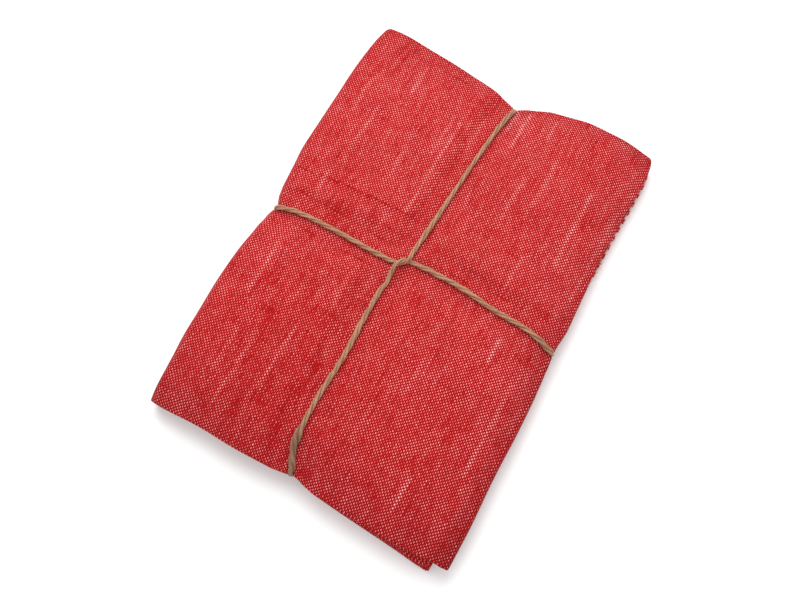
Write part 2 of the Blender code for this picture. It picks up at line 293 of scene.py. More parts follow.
# Height of the loose packet between the twine, and how much each edge rolls down from it
LOOSE_HEIGHT = 15.4
CROWNS = (
    # across, along, extra height, reach
    (-44.0, 62.0, 1.1, 40.0),
    (38.0, 64.0, 1.7, 36.0),
    (46.0, -64.0, 1.2, 38.0),
    (-46.0, -66.0, 0.8, 40.0),
    (-82.0, 118.0, 1.6, 18.0),
)
ROLLS = {
    # edge: how far in the roll starts, then rows of place along the edge and drop
    "left": (20.0, ((-1.0, 2.6), (-0.3, 2.2), (0.5, 2.0), (1.0, 0.6))),
    "right": (28.0, ((-1.0, 2.4), (-0.4, 3.2), (0.3, 4.4), (0.8, 4.8), (1.0, 5.0))),
    "far": (16.0, ((-1.0, 0.6), (-0.5, 1.6), (0.1, 3.2), (0.5, 2.2), (1.0, 2.6))),
    "near": (12.0, ((-1.0, 2.0), (0.0, 1.4), (1.0, 2.2))),
    "right lip": (7.0, ((-1.0, 1.8), (-0.3, 1.6), (0.3, 1.0), (1.0, 1.0))),
    "near lip": (5.0, ((-1.0, 0.6), (0.0, 0.8), (1.0, 1.2))),
}

# How far each layer is set back from the near and far edge of the packet, in millimetres
SET_BACK = {
    # pass and cloth side: near edge at the left, near edge at the right, far edge
    (0, "outer"): (0.4, 0.8, 1.1),
    (0, "inner"): (1.3, 0.0, 1.1),
    (1, "outer"): (0.2, 1.6, 0.3),
    (1, "inner"): (0.9, 0.6, 0.3),
    (2, "outer"): (1.6, 6.4, 0.9),
    (2, "inner"): (2.1, 6.8, 0.9),
    (3, "outer"): (0.0, 6.0, 0.0),
    (3, "inner"): (0.8, 6.4, 0.0),
}
# How the upper passes' near edge draws back toward the right: share across and share of the setting back
NEAR_SET_BACK_GROWTH = (
    (-1.0, 0.0),
    (-0.5, 0.15),
    (0.0, 0.22),
    (0.5, 0.34),
    (0.75, 0.52),
    (0.88, 0.84),
    (0.95, 0.98),
    (1.0, 1.0),
)
# How far each hem is set back from the packet's hem line
HEM_STEP = {(0, "outer"): 1.5, (0, "inner"): 1.1, (1, "outer"): 0.5, (1, "inner"): 0.2}
# How far along the hem a stitch draws it in, as a share of the stitch's length
PULL_REACH = 0.6

# How far the outer turn bulges out, and the room left between the inner turn and it
OUTER_TURN_DEPTH = 4.4
INNER_TURN_CLEAR = 1.2

# Mesh rows from the nip's stations to each end: over each pass and over each half of the towel's width
PASS_ROWS = {0: 10, 3: 48, 2: 10, 1: 10}
OUTER_WIDTH_ROWS = 65
INNER_WIDTH_ROWS = 11
OUTER_COLUMNS = 2 * (len(NIP_STATIONS) + OUTER_WIDTH_ROWS)
# Mesh rows round each turn
TURN_ROWS = {"outer": 12, "right": 9, "inner": 7}
FAR_FOLD_ANGLES = (67.5, 45.0, 22.5, 0.0, -22.5, -45.0, -67.5)
EDGE_ANGLES = (50.0, 18.0, -18.0, -50.0)

# Creases and soft ridges on the cloth: height, half width, then places across and along
CREASES = (
    # the fine crease left of the crossing
    (0.55, 1.3, ((-83, 17), (-55, 21.5), (-44, 22), (-34, 23.5), (-23, 23.5), (-13, 23))),
    (-0.35, 2.2, ((-80, 13), (-55, 17.5), (-42, 18), (-30, 19.5), (-18, 19))),
    # gathers on both sides of the twine at the far edge
    (0.7, 1.5, ((8, 106), (13, 99), (18, 90))),
    (0.8, 1.7, ((12, 111), (20, 104), (29, 98))),
    (0.6, 2.0, ((20, 117), (32, 111), (45, 107))),
    (-0.5, 1.8, ((10, 108), (17, 101), (25, 93))),
    (0.5, 1.6, ((-3, 106), (-7, 99), (-12, 89))),
    (0.45, 1.8, ((-8, 110), (-16, 103), (-27, 97))),
    # gathers at the left notch
    (0.6, 1.4, ((-80, -2), (-72, 2), (-62, 5))),
    (0.5, 1.5, ((-82, 3), (-74, 9), (-64, 14))),
    (0.5, 1.5, ((-80, -12), (-72, -15), (-61, -19))),
    (0.4, 1.8, ((-82, -18), (-74, -23), (-64, -29))),
    # gathers at the right end of the twine
    (0.5, 1.5, ((82, 0), (73, 3), (62, 5))),
    (0.5, 1.8, ((83, 5), (75, 10), (64, 14))),
    (0.5, 1.5, ((82, -10), (74, -13), (62, -14))),
    (0.4, 1.9, ((83, -16), (76, -21), (66, -26))),
    # gathers at the near end
    (0.5, 1.5, ((4, -118), (8, -110), (11, -99))),
    (0.45, 1.7, ((9, -120), (17, -113), (25, -104))),
    (0.5, 1.5, ((-5, -118), (-12, -111), (-17, -101))),
    (0.4, 1.8, ((-12, -121), (-22, -115), (-33, -108))),
    # long soft ridges inside the right edge, near the right near corner
    (0.35, 2.4, ((80, -40), (79, -70), (80, -98), (78, -116))),
    (-0.3, 2.2, ((75, -52), (74, -78), (75, -104))),
    # faint wrinkles near the right far corner
    (0.3, 2.6, ((22, 104), (31, 108), (44, 111))),
    (0.3, 2.8, ((58, 84), (70, 76), (80, 66))),
    (-0.25, 3.0, ((48, 74), (62, 66), (74, 55))),
)
# Distance from the pressed cloth over which the creases come in
SEAT_MARGIN = 3.5

# Low waves of the cloth: length of the wave, direction in degrees, height, start
WAVES = (
    (46.0, 24.0, 0.16, 0.4),
    (33.0, -61.0, 0.13, 2.1),
    (24.0, 78.0, 0.10, 4.0),
    (19.0, -12.0, 0.07, 1.3),
)
# Crumple of washed cotton: size of the patches and height
CRUMPLES = ((9.0, 0.07), (4.5, 0.035))
CRUMPLE_SEED = 11
# Paler and redder places on the cloth's face
PALE_PLACES = (
    # across, along, reach, more of the white yarn
    (-46.0, 84.0, 38.0, 0.02),
    (-50.0, 92.0, 9.0, 0.12),
    (-19.0, 113.0, 5.0, 0.20),
    (8.0, 106.0, 8.0, 0.24),
    (66.0, 40.0, 7.0, 0.16),
    (83.0, 104.0, 8.0, 0.20),
    (82.0, 86.0, 9.0, 0.16),
    (82.0, 66.0, 9.0, 0.14),
    (-11.0, -38.0, 4.0, 0.15),
    (54.0, 20.0, 26.0, 0.05),
    (15.0, 98.0, 9.0, 0.16),
    (24.0, 92.0, 13.0, 0.10),
    (78.0, -30.0, 9.0, 0.12),
    (77.0, -60.0, 9.0, 0.12),
    (79.0, -90.0, 8.0, 0.14),
    (76.0, -112.0, 8.0, 0.12),
    (-74.0, -26.0, 9.0, 0.12),
    (-78.0, -60.0, 8.0, 0.10),
    (-52.0, 8.0, 14.0, -0.08),
    (24.0, 8.0, 12.0, -0.09),
    (-40.0, -74.0, 46.0, -0.16),
    (40.0, -92.0, 48.0, -0.09),
    (-30.0, -112.0, 26.0, -0.08),
    (80.0, -112.0, 20.0, -0.08),
)
# Painted shade: share of light taken off the cloth's colour toward each edge, where the cloth turns down
# away from the light
EDGE_PAINTED_SHADE = {
    # edge: rows of distance in from the edge and share lost
    "left": ((0.0, 0.19), (2.0, 0.13), (4.0, 0.07), (7.0, 0.04), (12.0, 0.0)),
    "far": ((0.0, 0.20), (2.5, 0.14), (6.0, 0.07), (10.0, 0.04), (16.0, 0.0)),
    "near": (
        (0.0, 0.20),
        (9.0, 0.20),
        (15.0, 0.16),
        (22.0, 0.10),
        (32.0, 0.06),
        (46.0, 0.02),
        (60.0, 0.0),
    ),
    "right": (
        (0.0, 0.27),
        (3.0, 0.22),
        (6.0, 0.17),
        (9.5, 0.12),
        (13.0, 0.06),
        (20.0, 0.04),
        (30.0, 0.02),
        (42.0, 0.0),
    ),
}
# How much less painted shade the right edge gets in its far half, and over what distance that comes in
FAR_HALF_LESS_SHADE = 0.5
FAR_HALF_FADE = 30.0
# How much less painted shade the layers below the top ones get: share, and the height where that fades
# out
COVERED_LESS_SHADE = 0.75
COVERED_HEIGHT = 6.0
COVERED_FADE = 3.0
# Painted shade on the twine, darker lengths near the edges that it goes over: across, along, reach, share
# of light lost
TWINE_PAINTED_SHADE = (
    (-2.0, -114.0, 16.0, 0.42),
    (80.0, -4.5, 8.0, 0.24),
    (4.0, 108.0, 8.0, 0.08),
)
# Thick places in the white yarns, which run along the packet
PALE_YARNS = (
    # across, start and end along, extra thickness
    (57.6, -28.0, -10.0, 0.78),
    (52.0, -114.0, -92.0, 0.70),
    (73.6, -83.0, -28.0, 0.53),
    (80.0, 18.0, 81.0, 0.30),
    (38.6, 58.0, 92.0, 0.40),
    (47.0, 12.0, 34.0, 0.40),
    (18.0, -96.0, -70.0, 0.36),
    (30.0, -62.0, -38.0, 0.34),
    (-8.0, 70.0, 96.0, 0.36),
    (-36.0, 28.0, 60.0, 0.34),
    (-74.0, 60.0, 90.0, 0.36),
    (-25.6, -40.0, -18.0, 0.34),
    (-60.0, -100.0, -72.0, 0.36),
    (6.2, 94.0, 111.0, 0.70),
    (12.6, 84.0, 113.0, 0.62),
    (1.5, 96.0, 110.0, 0.62),
    (27.6, 96.0, 114.0, 0.56),
    (63.0, 35.0, 84.0, 0.53),
    (27.8, 44.0, 74.0, 0.40),
    (-18.6, 22.0, 86.0, 0.53),
    (-22.8, 58.0, 88.0, 0.46),
    (-50.8, 85.0, 108.0, 0.50),
    (-62.0, 44.0, 74.0, 0.46),
    (-66.0, 9.0, 26.0, 0.56),
    (-67.6, -57.0, -20.0, 0.43),
    (-50.8, -113.0, -68.0, 0.40),
    (-35.8, -95.0, -57.0, 0.40),
)
# Thick places in the red yarns, which run across the packet
RED_YARNS = (
    # along, start and end across, extra thickness
    (18.3, -84.0, -70.0, 0.30),
    (20.3, -73.0, -56.0, 0.30),
    (21.4, -59.0, -38.0, 0.33),
    (22.4, -42.0, -24.0, 0.33),
    (23.2, -28.0, -10.0, 0.30),
    (6.2, 1.0, 32.0, 0.20),
    (8.2, 34.0, 70.0, 0.16),
    (12.4, 24.0, 50.0, 0.12),
    (11.6, 60.0, 78.0, 0.16),
    (30.2, 36.0, 49.0, 0.25),
    (46.5, 57.0, 83.0, 0.19),
    (108.3, -44.0, -15.0, 0.24),
    (103.6, 17.0, 27.0, 0.22),
    (5.2, -33.0, -11.0, 0.24),
    (6.5, -74.0, -35.0, 0.20),
    (-11.2, -70.0, -15.0, 0.19),
    (-8.3, 48.0, 60.0, 0.24),
    (-44.6, -28.0, -12.0, 0.27),
)
THICK_YARN_FADE = 3.0
# How far to its sides a thick yarn pushes the others aside, in yarns: the white ones, the red ones,
# and the core that is full
PALE_YARN_SPREAD = 1.6
RED_YARN_SPREAD = 0.8
THICK_YARN_CORE = 0.2
# Where the twine draws the cloth in: depth, half width along the edge and reach inwards
GATHER_DEPTH = 2.2
GATHER_WIDTH = 10.0
GATHER_REACH = 26.0

# How far a cut or woven edge is rounded out, as a share of half the cloth's thickness
EDGE_ROUNDNESS = 0.8
# Width of cloth that each row of a rounded edge takes up
EDGE_ROW_WIDTH = 0.3
# Rounds in which a place on the packet settles between the lines that depend on each other
SETTLING_ROUNDS = 2
# How far the mesh rows are spread more widely toward the packet's middle
ROW_SPREAD = 0.25
# Room round the packet that the grid of the crumple covers, as a share of its half size
CRUMPLE_ROOM = 1.2


def smooth_rows(rows, place):
    """Height of the smooth curve through rows of (place, value), level beyond its ends."""
    table = np.array(sorted(rows), dtype=float)
    at, value = table[:, 0], table[:, 1]
    slope = np.empty(len(at))
    slope[1:-1] = (value[2:] - value[:-2]) / (at[2:] - at[:-2])
    slope[0] = (value[1] - value[0]) / (at[1] - at[0])
    slope[-1] = (value[-1] - value[-2]) / (at[-1] - at[-2])
    place = np.clip(place, at[0], at[-1])
    k = np.clip(np.searchsorted(at, place, side="right") - 1, 0, len(at) - 2)
    width = at[k + 1] - at[k]
    t = (place - at[k]) / width
    start = (1 + 2 * t) * (1 - t) ** 2 * value[k] + t * (1 - t) ** 2 * width * slope[k]
    end = t * t * (3 - 2 * t) * value[k + 1] - t * t * (1 - t) * width * slope[k + 1]
    return start + end


def smooth_step(value):
    value = np.clip(value, 0.0, 1.0)
    return value * value * (3 - 2 * value)


def long_line(y):
    """Place across of the twine that runs along the packet."""
    return smooth_rows(LONG_LINE, y)


def cross_line(x):
    """Place along of the twine that runs across the packet."""
    return smooth_rows(CROSS_LINE, x)


def from_twine(edge, place):
    """Distance along an edge from the place where the twine goes round it."""
    line = cross_line if edge in ("left", "right") else long_line
    return place - line(TWINE_ENDS[edge])


def nip(edge, place):
    """How far the twine nips an edge in."""
    beyond = np.maximum(np.abs(from_twine(edge, place)) - NIP_FLOOR, 0.0)
    return NIPS[edge] * np.exp(-((beyond / NIP_SIDE) ** 2))


def left_edge(y):
    return -(HALF_ACROSS + smooth_rows(LEFT_EDGE, y / HALF_ALONG)) + nip("left", y)


def right_edge(y, hem):
    rows = HEM_EDGE if hem else RIGHT_FOLD
    return HALF_ACROSS + smooth_rows(rows, y / HALF_ALONG) - nip("right", y)


def far_edge(x):
    return HALF_ALONG + smooth_rows(FAR_EDGE, x / HALF_ACROSS) - nip("far", x)


def near_edge(x):
    return -(HALF_ALONG + smooth_rows(NEAR_EDGE, x / HALF_ACROSS)) + nip("near", x)


def groove(distance):
    """One on the twine's seat, falling softly to nothing at the groove's reach."""
    beyond = np.minimum(np.maximum(np.abs(distance) - SEAT_HALF_WIDTH, 0.0) / GROOVE_REACH, 1.0)
    return (1 - beyond * beyond) ** 2


def underside(x, y):
    """Height of the packet's underside: flat on the surface, arched over the twine beneath it."""
    along = groove(x - long_line(y))
    across = groove(y - cross_line(x))
    one_strand = FLOOR_CLEAR + 2 * TWINE_RADIUS + TWINE_CLEAR
    two_strands = FLOOR_CLEAR + 4 * KNUCKLE_RADIUS + 2 * TWINE_CLEAR
    return one_strand * (1 - (1 - along) * (1 - across)) + (two_strands - one_strand) * along * across


def roll(edge, inwards, place):
    reach, rows = ROLLS[edge]
    share = np.maximum(1 - np.maximum(inwards, 0.0) / reach, 0.0)
    return smooth_rows(rows, place) * share * share


def crease(x, y, height, half_width, places):
    """A soft ridge or trough along a line of places, dying away at both ends."""
    nearest = np.full(np.shape(x), np.inf)
    share_there = np.zeros(np.shape(x))
    count = len(places) - 1
    for k in range(count):
        (start_x, start_y), (end_x, end_y) = places[k], places[k + 1]
        run_x, run_y = end_x - start_x, end_y - start_y
        t = ((x - start_x) * run_x + (y - start_y) * run_y) / (run_x * run_x + run_y * run_y)
        t = np.clip(t, 0.0, 1.0)
        away = np.hypot(x - start_x - t * run_x, y - start_y - t * run_y)
        closer = away < nearest
        nearest = np.where(closer, away, nearest)
        share_there = np.where(closer, (k + t) / count, share_there)
    fade = 1 - (2 * share_there - 1) ** 4
    return height * fade * np.exp(-((nearest / half_width) ** 2))


def crumple(x, y):
    """Fine unevenness of the cloth: smooth patches of chance heights."""
    chance = np.random.default_rng(CRUMPLE_SEED)
    total = 0.0
    for size, height in CRUMPLES:
        columns = int(2 * CRUMPLE_ROOM * HALF_ACROSS / size) + 3
        rows = int(2 * CRUMPLE_ROOM * HALF_ALONG / size) + 3
        grid = chance.uniform(-1, 1, (columns, rows))
        at_x = np.clip((x + CRUMPLE_ROOM * HALF_ACROSS) / size, 0, columns - 1.001)
        at_y = np.clip((y + CRUMPLE_ROOM * HALF_ALONG) / size, 0, rows - 1.001)
        i, j = at_x.astype(int), at_y.astype(int)
        s, t = smooth_step(at_x - i), smooth_step(at_y - j)
        low = grid[i, j] * (1 - s) + grid[i + 1, j] * s
        high = grid[i, j + 1] * (1 - s) + grid[i + 1, j + 1] * s
        total = total + height * (low * (1 - t) + high * t)
    return total


def relief(x, y):
    """Creases, waves and crumple of the upper face, none of them under the twine."""
    x, y = np.broadcast_arrays(np.asarray(x, float), np.asarray(y, float))
    total = crumple(x, y)
    for height, half_width, places in CREASES:
        total = total + crease(x, y, height, half_width, places)
    for length, direction, height, start in WAVES:
        angle = math.radians(direction)
        along = (x * math.cos(angle) + y * math.sin(angle)) / length
        total = total + height * np.sin(2 * math.pi * along + start)
    away = np.minimum(np.abs(x - long_line(y)), np.abs(y - cross_line(x)))
    return total * smooth_step((away - SEAT_HALF_WIDTH) / SEAT_MARGIN)


def topside(x, y):
    """Height of the packet's upper face, pressed down under the twine and rolled down at the edges."""
    low = underside(x, y)
    loose = LOOSE_HEIGHT
    for across, along, extra, reach in CROWNS:
        loose = loose + extra * np.exp(-((x - across) ** 2 + (y - along) ** 2) / reach**2)
    loose = loose - roll("left", x - left_edge(y), y / HALF_ALONG)
    loose = loose - roll("right", right_edge(y, False) - x, y / HALF_ALONG)
    loose = loose - roll("far", far_edge(x) - y, x / HALF_ACROSS)
    loose = loose - roll("near", y - near_edge(x), x / HALF_ACROSS)
    loose = loose - roll("right lip", right_edge(y, False) - x, y / HALF_ALONG)
    loose = loose - roll("near lip", y - near_edge(x), x / HALF_ACROSS)
    held = 1 - (1 - groove(x - long_line(y))) * (1 - groove(y - cross_line(x)))
    return np.maximum(loose + (low + PRESSED - loose) * held + relief(x, y), low + PRESSED)


def layer_pitch(x, y):
    """Rise from the middle of one layer to the middle of the next."""
    return (topside(x, y) - underside(x, y) - CLOTH) / (LAYERS - 1)


def pass_ends(level, y):
    """Places across where the flat of a pass begins and ends, inside its turns."""
    left = left_edge(y)
    right = right_edge(y, level in (0, 1))
    pitch = layer_pitch(left, y)
    if level in (0, 3):
        left = left + OUTER_TURN_DEPTH + (pitch + CLOTH) / 2
    else:
        left = left + 2.5 * pitch + 1.5 * CLOTH + INNER_TURN_CLEAR
    if level in (2, 3):
        pitch = layer_pitch(right, y)
        right = right - 1.5 * pitch - CLOTH / 2
    return left, right


def stitch_pull(y, stitches):
    """How far the hem is drawn in by its stitches, at a place along the packet."""
    away = (y - stitches["start"] + stitches["pitch"] / 2) % stitches["pitch"] - stitches["pitch"] / 2
    return stitches["pull"] * np.exp(-((away / (PULL_REACH * stitches["length"])) ** 2))


def place_along(share, x, near_back, far_back, round_radius):
    """Place along of a width station, measured both ways from the twine that runs across."""
    middle = cross_line(x)
    near = middle - share * (near_edge(x) + near_back - middle)
    far = middle + share * (far_edge(x) - far_back - round_radius - middle)
    return np.where(share < 0, near, far)


def flat_middle(level, side, share, share_along, stitches):
    """Middle of the double cloth at stations on a pass, with its direction out and its pitch."""
    near_left, near_right, far_back = SET_BACK[(level, side)]
    growth = smooth_rows(NEAR_SET_BACK_GROWTH, share) if level in (2, 3) else (share + 1) / 2
    near_back = near_left + (near_right - near_left) * growth
    y = share_along * HALF_ALONG + 0 * share
    for _ in range(SETTLING_ROUNDS):
        left, right = pass_ends(level, y)
        if level in (0, 1):
            right = right - HEM_STEP[(level, side)] - stitch_pull(y, stitches)
        middle = long_line(y)
        x = middle + np.abs(share) * (np.where(share < 0, left, right) - middle)
        pitch = layer_pitch(x, y)
        y = place_along(share_along, x, near_back, far_back, (pitch + CLOTH) / 2)
    pitch = layer_pitch(x, y)
    z = underside(x, y) + CLOTH / 2 + (2 * level + 0.5) * pitch
    up = 1.0 if level in (1, 3) else -1.0
    return x, y, z, 0 * x, up + 0 * x, pitch


TURNS = {
    # name: pass it leaves, pass it reaches, side of the packet
    "outer": (0, 3, -1.0),
    "right": (3, 2, 1.0),
    "inner": (2, 1, -1.0),
}


def turn_middle(name, side, share, share_along, stitches):
    """Middle of the double cloth at stations round a turn."""
    first, last, end = TURNS[name]
    ends = np.full((1, 1), end)
    x, y_first, z_first, _, _, pitch = flat_middle(first, side, ends, share_along, stitches)
    _, y_last, z_last, _, _, _ = flat_middle(last, side, ends, share_along, stitches)
    half_height = np.abs(z_last - z_first) / 2
    depth = OUTER_TURN_DEPTH + 0 * x if name == "outer" else half_height
    angle = math.pi * share
    sweep = np.where(z_last > z_first, 1.0, -1.0)
    z = (z_first + z_last) / 2 - sweep * half_height * np.cos(angle)
    x = x + end * depth * np.sin(angle)
    y = y_first + (y_last - y_first) * share
    out_x = end * np.sin(angle) * half_height
    out_z = -sweep * np.cos(angle) * depth
    length = np.hypot(out_x, out_z)
    flip = -1.0 if name == "inner" else 1.0
    return x, y, z, flip * out_x / length, flip * out_z / length, pitch + 0 * x


def shares_over(count, half):
    """Shares from -1 to 1 of a half size: the nip's stations by the twine, then so many to each end."""
    near = np.array(NIP_STATIONS) / half
    share = np.arange(1, count + 1) / count
    share = (1 - ROW_SPREAD) * share + ROW_SPREAD * np.sin(share * math.pi / 2)
    side = np.concatenate((near, near[-1] + (1 - near[-1]) * share))
    return np.concatenate((-side[::-1], side))


def path_blocks():
    """Stations along the towel's length, block by block, from the hem of pass 0 to that of pass 1."""
    blocks = []
    for kind, name, forwards in (
        ("flat", 0, False),
        ("turn", "outer", True),
        ("flat", 3, True),
        ("turn", "right", True),
        ("flat", 2, False),
        ("turn", "inner", True),
        ("flat", 1, True),
    ):
        if kind == "flat":
            shares = shares_over(PASS_ROWS[name], HALF_ACROSS)
        else:
            count = TURN_ROWS[name]
            shares = np.arange(1, count + 1) / (count + 1)
        blocks.append((kind, name, shares if forwards else shares[::-1]))
    return blocks


def width_stations():
    """Stations over the towel's width, near edge to far fold in the outer cloth and back in the inner."""
    outer = [(share, 90.0) for share in shares_over(OUTER_WIDTH_ROWS, HALF_ALONG)]
    fold = [(1.0, angle) for angle in FAR_FOLD_ANGLES]
    inner = [(share, -90.0) for share in shares_over(INNER_WIDTH_ROWS, HALF_ALONG)[::-1]]
    return np.array(outer + fold + inner)


def cloth_faces(stitches):
    """Points of the towel's outer and inner face as two grids, and the rows of pass 3 in them."""
    width = width_stations()
    share_along, angle = width[:, 0][None, :], np.radians(width[:, 1])[None, :]
    grids = {1: [], -1: []}
    top_rows = None
    row = 0
    for kind, name, shares in path_blocks():
        shares = shares[:, None]
        make = flat_middle if kind == "flat" else turn_middle
        outer = make(name, "outer", shares, share_along, stitches)
        inner = make(name, "inner", shares, share_along, stitches)
        x, y, z, out_x, out_z, pitch = (np.where(angle >= 0, a, b) for a, b in zip(outer, inner))
        for face, blocks in grids.items():
            radius = pitch / 2 + face * CLOTH / 2
            off = radius * np.sin(angle)
            point = (x + off * out_x, y + radius * np.cos(angle), z + off * out_z)
            blocks.append(np.stack(point, axis=-1))
        if name == 3:
            top_rows = (row, row + len(shares))
        row += len(shares)
    return np.concatenate(grids[1]), np.concatenate(grids[-1]), top_rows


def gathered(edge, place, inwards):
    """How far the twine has drawn the cloth in at an edge, softly less to its sides and inwards."""
    beside = np.exp(-((from_twine(edge, place) / GATHER_WIDTH) ** 2))
    return GATHER_DEPTH * beside * np.clip(1 - inwards / GATHER_REACH, 0.0, 1.0) ** 2


def drawn_in(x, y):
    """How far the twine has drawn the cloth in from its flat place, across and along."""
    across = gathered("right", y, right_edge(y, False) - x) - gathered("left", y, x - left_edge(y))
    along = gathered("far", x, far_edge(x) - y) - gathered("near", x, y - near_edge(x))
    return across, along


def weave_places(middle, top_rows):
    """Place of each point in the flat towel, in millimetres: along its length and across its width."""
    first, last = top_rows
    along = np.zeros(middle.shape[:2])
    steps = np.linalg.norm(np.diff(middle, axis=0), axis=-1)
    top = middle[first:last]
    move_x, _ = drawn_in(top[..., 0], top[..., 1])
    along[first:last] = 3 * HALF_ACROSS + top[..., 0] + move_x
    along[last:] = along[last - 1] + np.cumsum(steps[last - 1 :], axis=0)
    along[:first] = along[first] - np.cumsum(steps[:first][::-1], axis=0)[::-1]
    across = np.zeros(middle.shape[:2])
    flat = middle[:, :OUTER_COLUMNS]
    _, move_y = drawn_in(flat[..., 0], flat[..., 1])
    across[:, :OUTER_COLUMNS] = HALF_ALONG + flat[..., 1] + move_y
    steps = np.linalg.norm(np.diff(middle, axis=1), axis=-1)
    rest = np.cumsum(steps[:, OUTER_COLUMNS - 1 :], axis=1)
    across[:, OUTER_COLUMNS:] = across[:, OUTER_COLUMNS - 1 : OUTER_COLUMNS] + rest
    return np.stack((along, across), axis=-1)


def paleness(points):
    """How much more of the white yarn shows at each point, from the paler and redder places."""
    total = np.zeros(len(points))
    for across, along, reach, amount in PALE_PLACES:
        away = np.hypot(points[:, 0] - across, points[:, 1] - along)
        total += amount * np.exp(-((away / reach) ** 2))
    return total


def edge_painted_shade(points):
    """Painted shade: share of light taken off the colour at each point, from its distances to the four
    edges.
    """
    x, y = points[:, 0], points[:, 1]
    distances = {
        "left": x - left_edge(y),
        "right": right_edge(y, False) - x,
        "far": far_edge(x) - y,
        "near": y - near_edge(x),
    }
    kept = 1.0
    for edge, distance in distances.items():
        lost = smooth_rows(EDGE_PAINTED_SHADE[edge], np.maximum(distance, 0.0))
        if edge == "right":
            lost = lost * (1 - FAR_HALF_LESS_SHADE * smooth_step(y / FAR_HALF_FADE))
        kept = kept * (1 - lost)
    covered = 1 - smooth_step((points[:, 2] - COVERED_HEIGHT) / COVERED_FADE)
    return (1 - kept) * (1 - COVERED_LESS_SHADE * covered)


def twine_painted_shade(points):
    """Painted shade: share of light taken off the twine's colour at each point, from its darker lengths.
    """
    kept = np.ones(len(points))
    for across, along, reach, lost in TWINE_PAINTED_SHADE:
        away = np.hypot(points[:, 0] - across, points[:, 1] - along)
        kept *= 1 - lost * np.exp(-((away / reach) ** 4))
    return 1 - kept


def to_metres(points):
    shift = np.array([CENTRING[0], CENTRING[1], 0.0])
    return (np.asarray(points, float) + shift) * METRES


def mesh_object(name, points, faces, material, places=None, marks=None):
    """A smooth mesh object from arrays of points and faces, with places and marks for its material."""
    data = bpy.data.meshes.new(name)
    data.from_pydata(to_metres(points).tolist(), [], [tuple(face) for face in faces])
    if places is not None:
        layer = data.uv_layers.new(name="place")
        corner = np.empty(len(data.loops), dtype=np.int32)
        data.loops.foreach_get("vertex_index", corner)
        layer.data.foreach_set("uv", np.asarray(places, np.float32)[corner].ravel())
    for mark, values in (marks or {}).items():
        layer = data.attributes.new(mark, "FLOAT", "POINT")
        layer.data.foreach_set("value", np.asarray(values, np.float32))
    mesh = bmesh.new()
    mesh.from_mesh(data)
    bmesh.ops.recalc_face_normals(mesh, faces=mesh.faces)
    mesh.to_mesh(data)
    mesh.free()
    data.shade_smooth()
    data.materials.append(material)
    thing = bpy.data.objects.new(name, data)
    bpy.context.collection.objects.link(thing)
    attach(thing, "root")
    return thing


def strip_faces(rows):
    """Four-sided faces between neighbouring rows of point numbers."""
    rows = np.asarray(rows)
    return np.stack((rows[:-1, :-1], rows[1:, :-1], rows[1:, 1:], rows[:-1, 1:]), axis=-1).reshape(-1, 4)


def rounded_edge(outer, inner, outer_next, inner_next):
    """Rows of points that round a cut or woven edge off, from the outer face to the inner."""
    middle = (outer + inner) / 2
    half = (outer - inner) / 2
    thickness = np.linalg.norm(half, axis=-1, keepdims=True)
    away = middle - (outer_next + inner_next) / 2
    away = away / np.linalg.norm(away, axis=-1, keepdims=True)
    rows = []
    for angle in np.radians(EDGE_ANGLES):
        out = away * thickness * EDGE_ROUNDNESS * math.cos(angle)
        rows.append(middle + out + half * math.sin(angle))
    return rows


def towel_mesh(stitches):
    """The towel as one closed body: two faces, two hems and two woven edges, with its weave places."""
    outer, inner, top_rows = cloth_faces(stitches)
    places = weave_places((outer + inner) / 2, top_rows) * METRES
    rows, columns = outer.shape[:2]
    points = [outer.reshape(-1, 3), inner.reshape(-1, 3)]
    uvs = [places.reshape(-1, 2), places.reshape(-1, 2)]
    number = {1: np.arange(rows * columns).reshape(rows, columns)}
    number[-1] = number[1] + rows * columns
    faces = [strip_faces(number[1]), strip_faces(number[-1])]
    total = 2 * rows * columns
    corner_rows = {}
    for end, step in ((0, 1), (rows - 1, -1)):
        edge = rounded_edge(outer[end], inner[end], outer[end + step], inner[end + step])
        block = [number[1][end]]
        for k, row in enumerate(edge):
            points.append(row)
            uvs.append(places[end] + np.array([(k + 1) * EDGE_ROW_WIDTH * METRES * step, 0.0]))
            block.append(total + np.arange(columns))
            total += columns
        block.append(number[-1][end])
        corner_rows[end] = block
        faces.append(strip_faces(block))
    for side, step in ((0, 1), (columns - 1, -1)):
        edge = rounded_edge(
            outer[:, side], inner[:, side], outer[:, side + step], inner[:, side + step]
        )
        block = [number[1][:, side]]
        for k, row in enumerate(edge):
            ids = total + np.arange(1, rows - 1)
            points.append(row[1:-1])
            uvs.append(places[1:-1, side] + np.array([0.0, (k + 1) * EDGE_ROW_WIDTH * METRES * step]))
            total += rows - 2
            first, last = corner_rows[0][k + 1][side], corner_rows[rows - 1][k + 1][side]
            block.append(np.concatenate(([first], ids - 1, [last])))
        block.append(number[-1][:, side])
        faces.append(strip_faces(block))
    return np.concatenate(points), np.concatenate(faces), np.concatenate(uvs)


# The top crossing: each strand goes over the other once. Rows give across, along and how far the
# strand is lifted, from 0 against the cloth to 1 over the other strand.
FAR_TO_LEFT = (
    (-3.3, 10.3, 0.1),
    (-3.2, 5.9, 0.5),
    (-2.9, 2.4, 1.0),
    (-2.9, 0.4, 0.95),
    (-3.8, -1.2, 0.25),
    (-5.6, -2.3, 0.0),
    (-8.3, -3.4, 0.0),
    (-11.6, -4.0, 0.0),
)
NEAR_TO_RIGHT = (
    (-7.2, -14.1, 0.0),
    (-7.6, -10.5, 0.3),
    (-7.7, -7.6, 0.8),
    (-7.4, -4.9, 1.0),
    (-6.3, -2.6, 1.0),
    (-4.9, -0.8, 0.85),
    (-3.3, 0.1, 0.05),
    (-0.7, 0.6, 0.0),
    (2.5, 0.8, 0.0),
)
# Radius of a strand pressed at the top crossing
CROSSING_RADIUS = 1.12


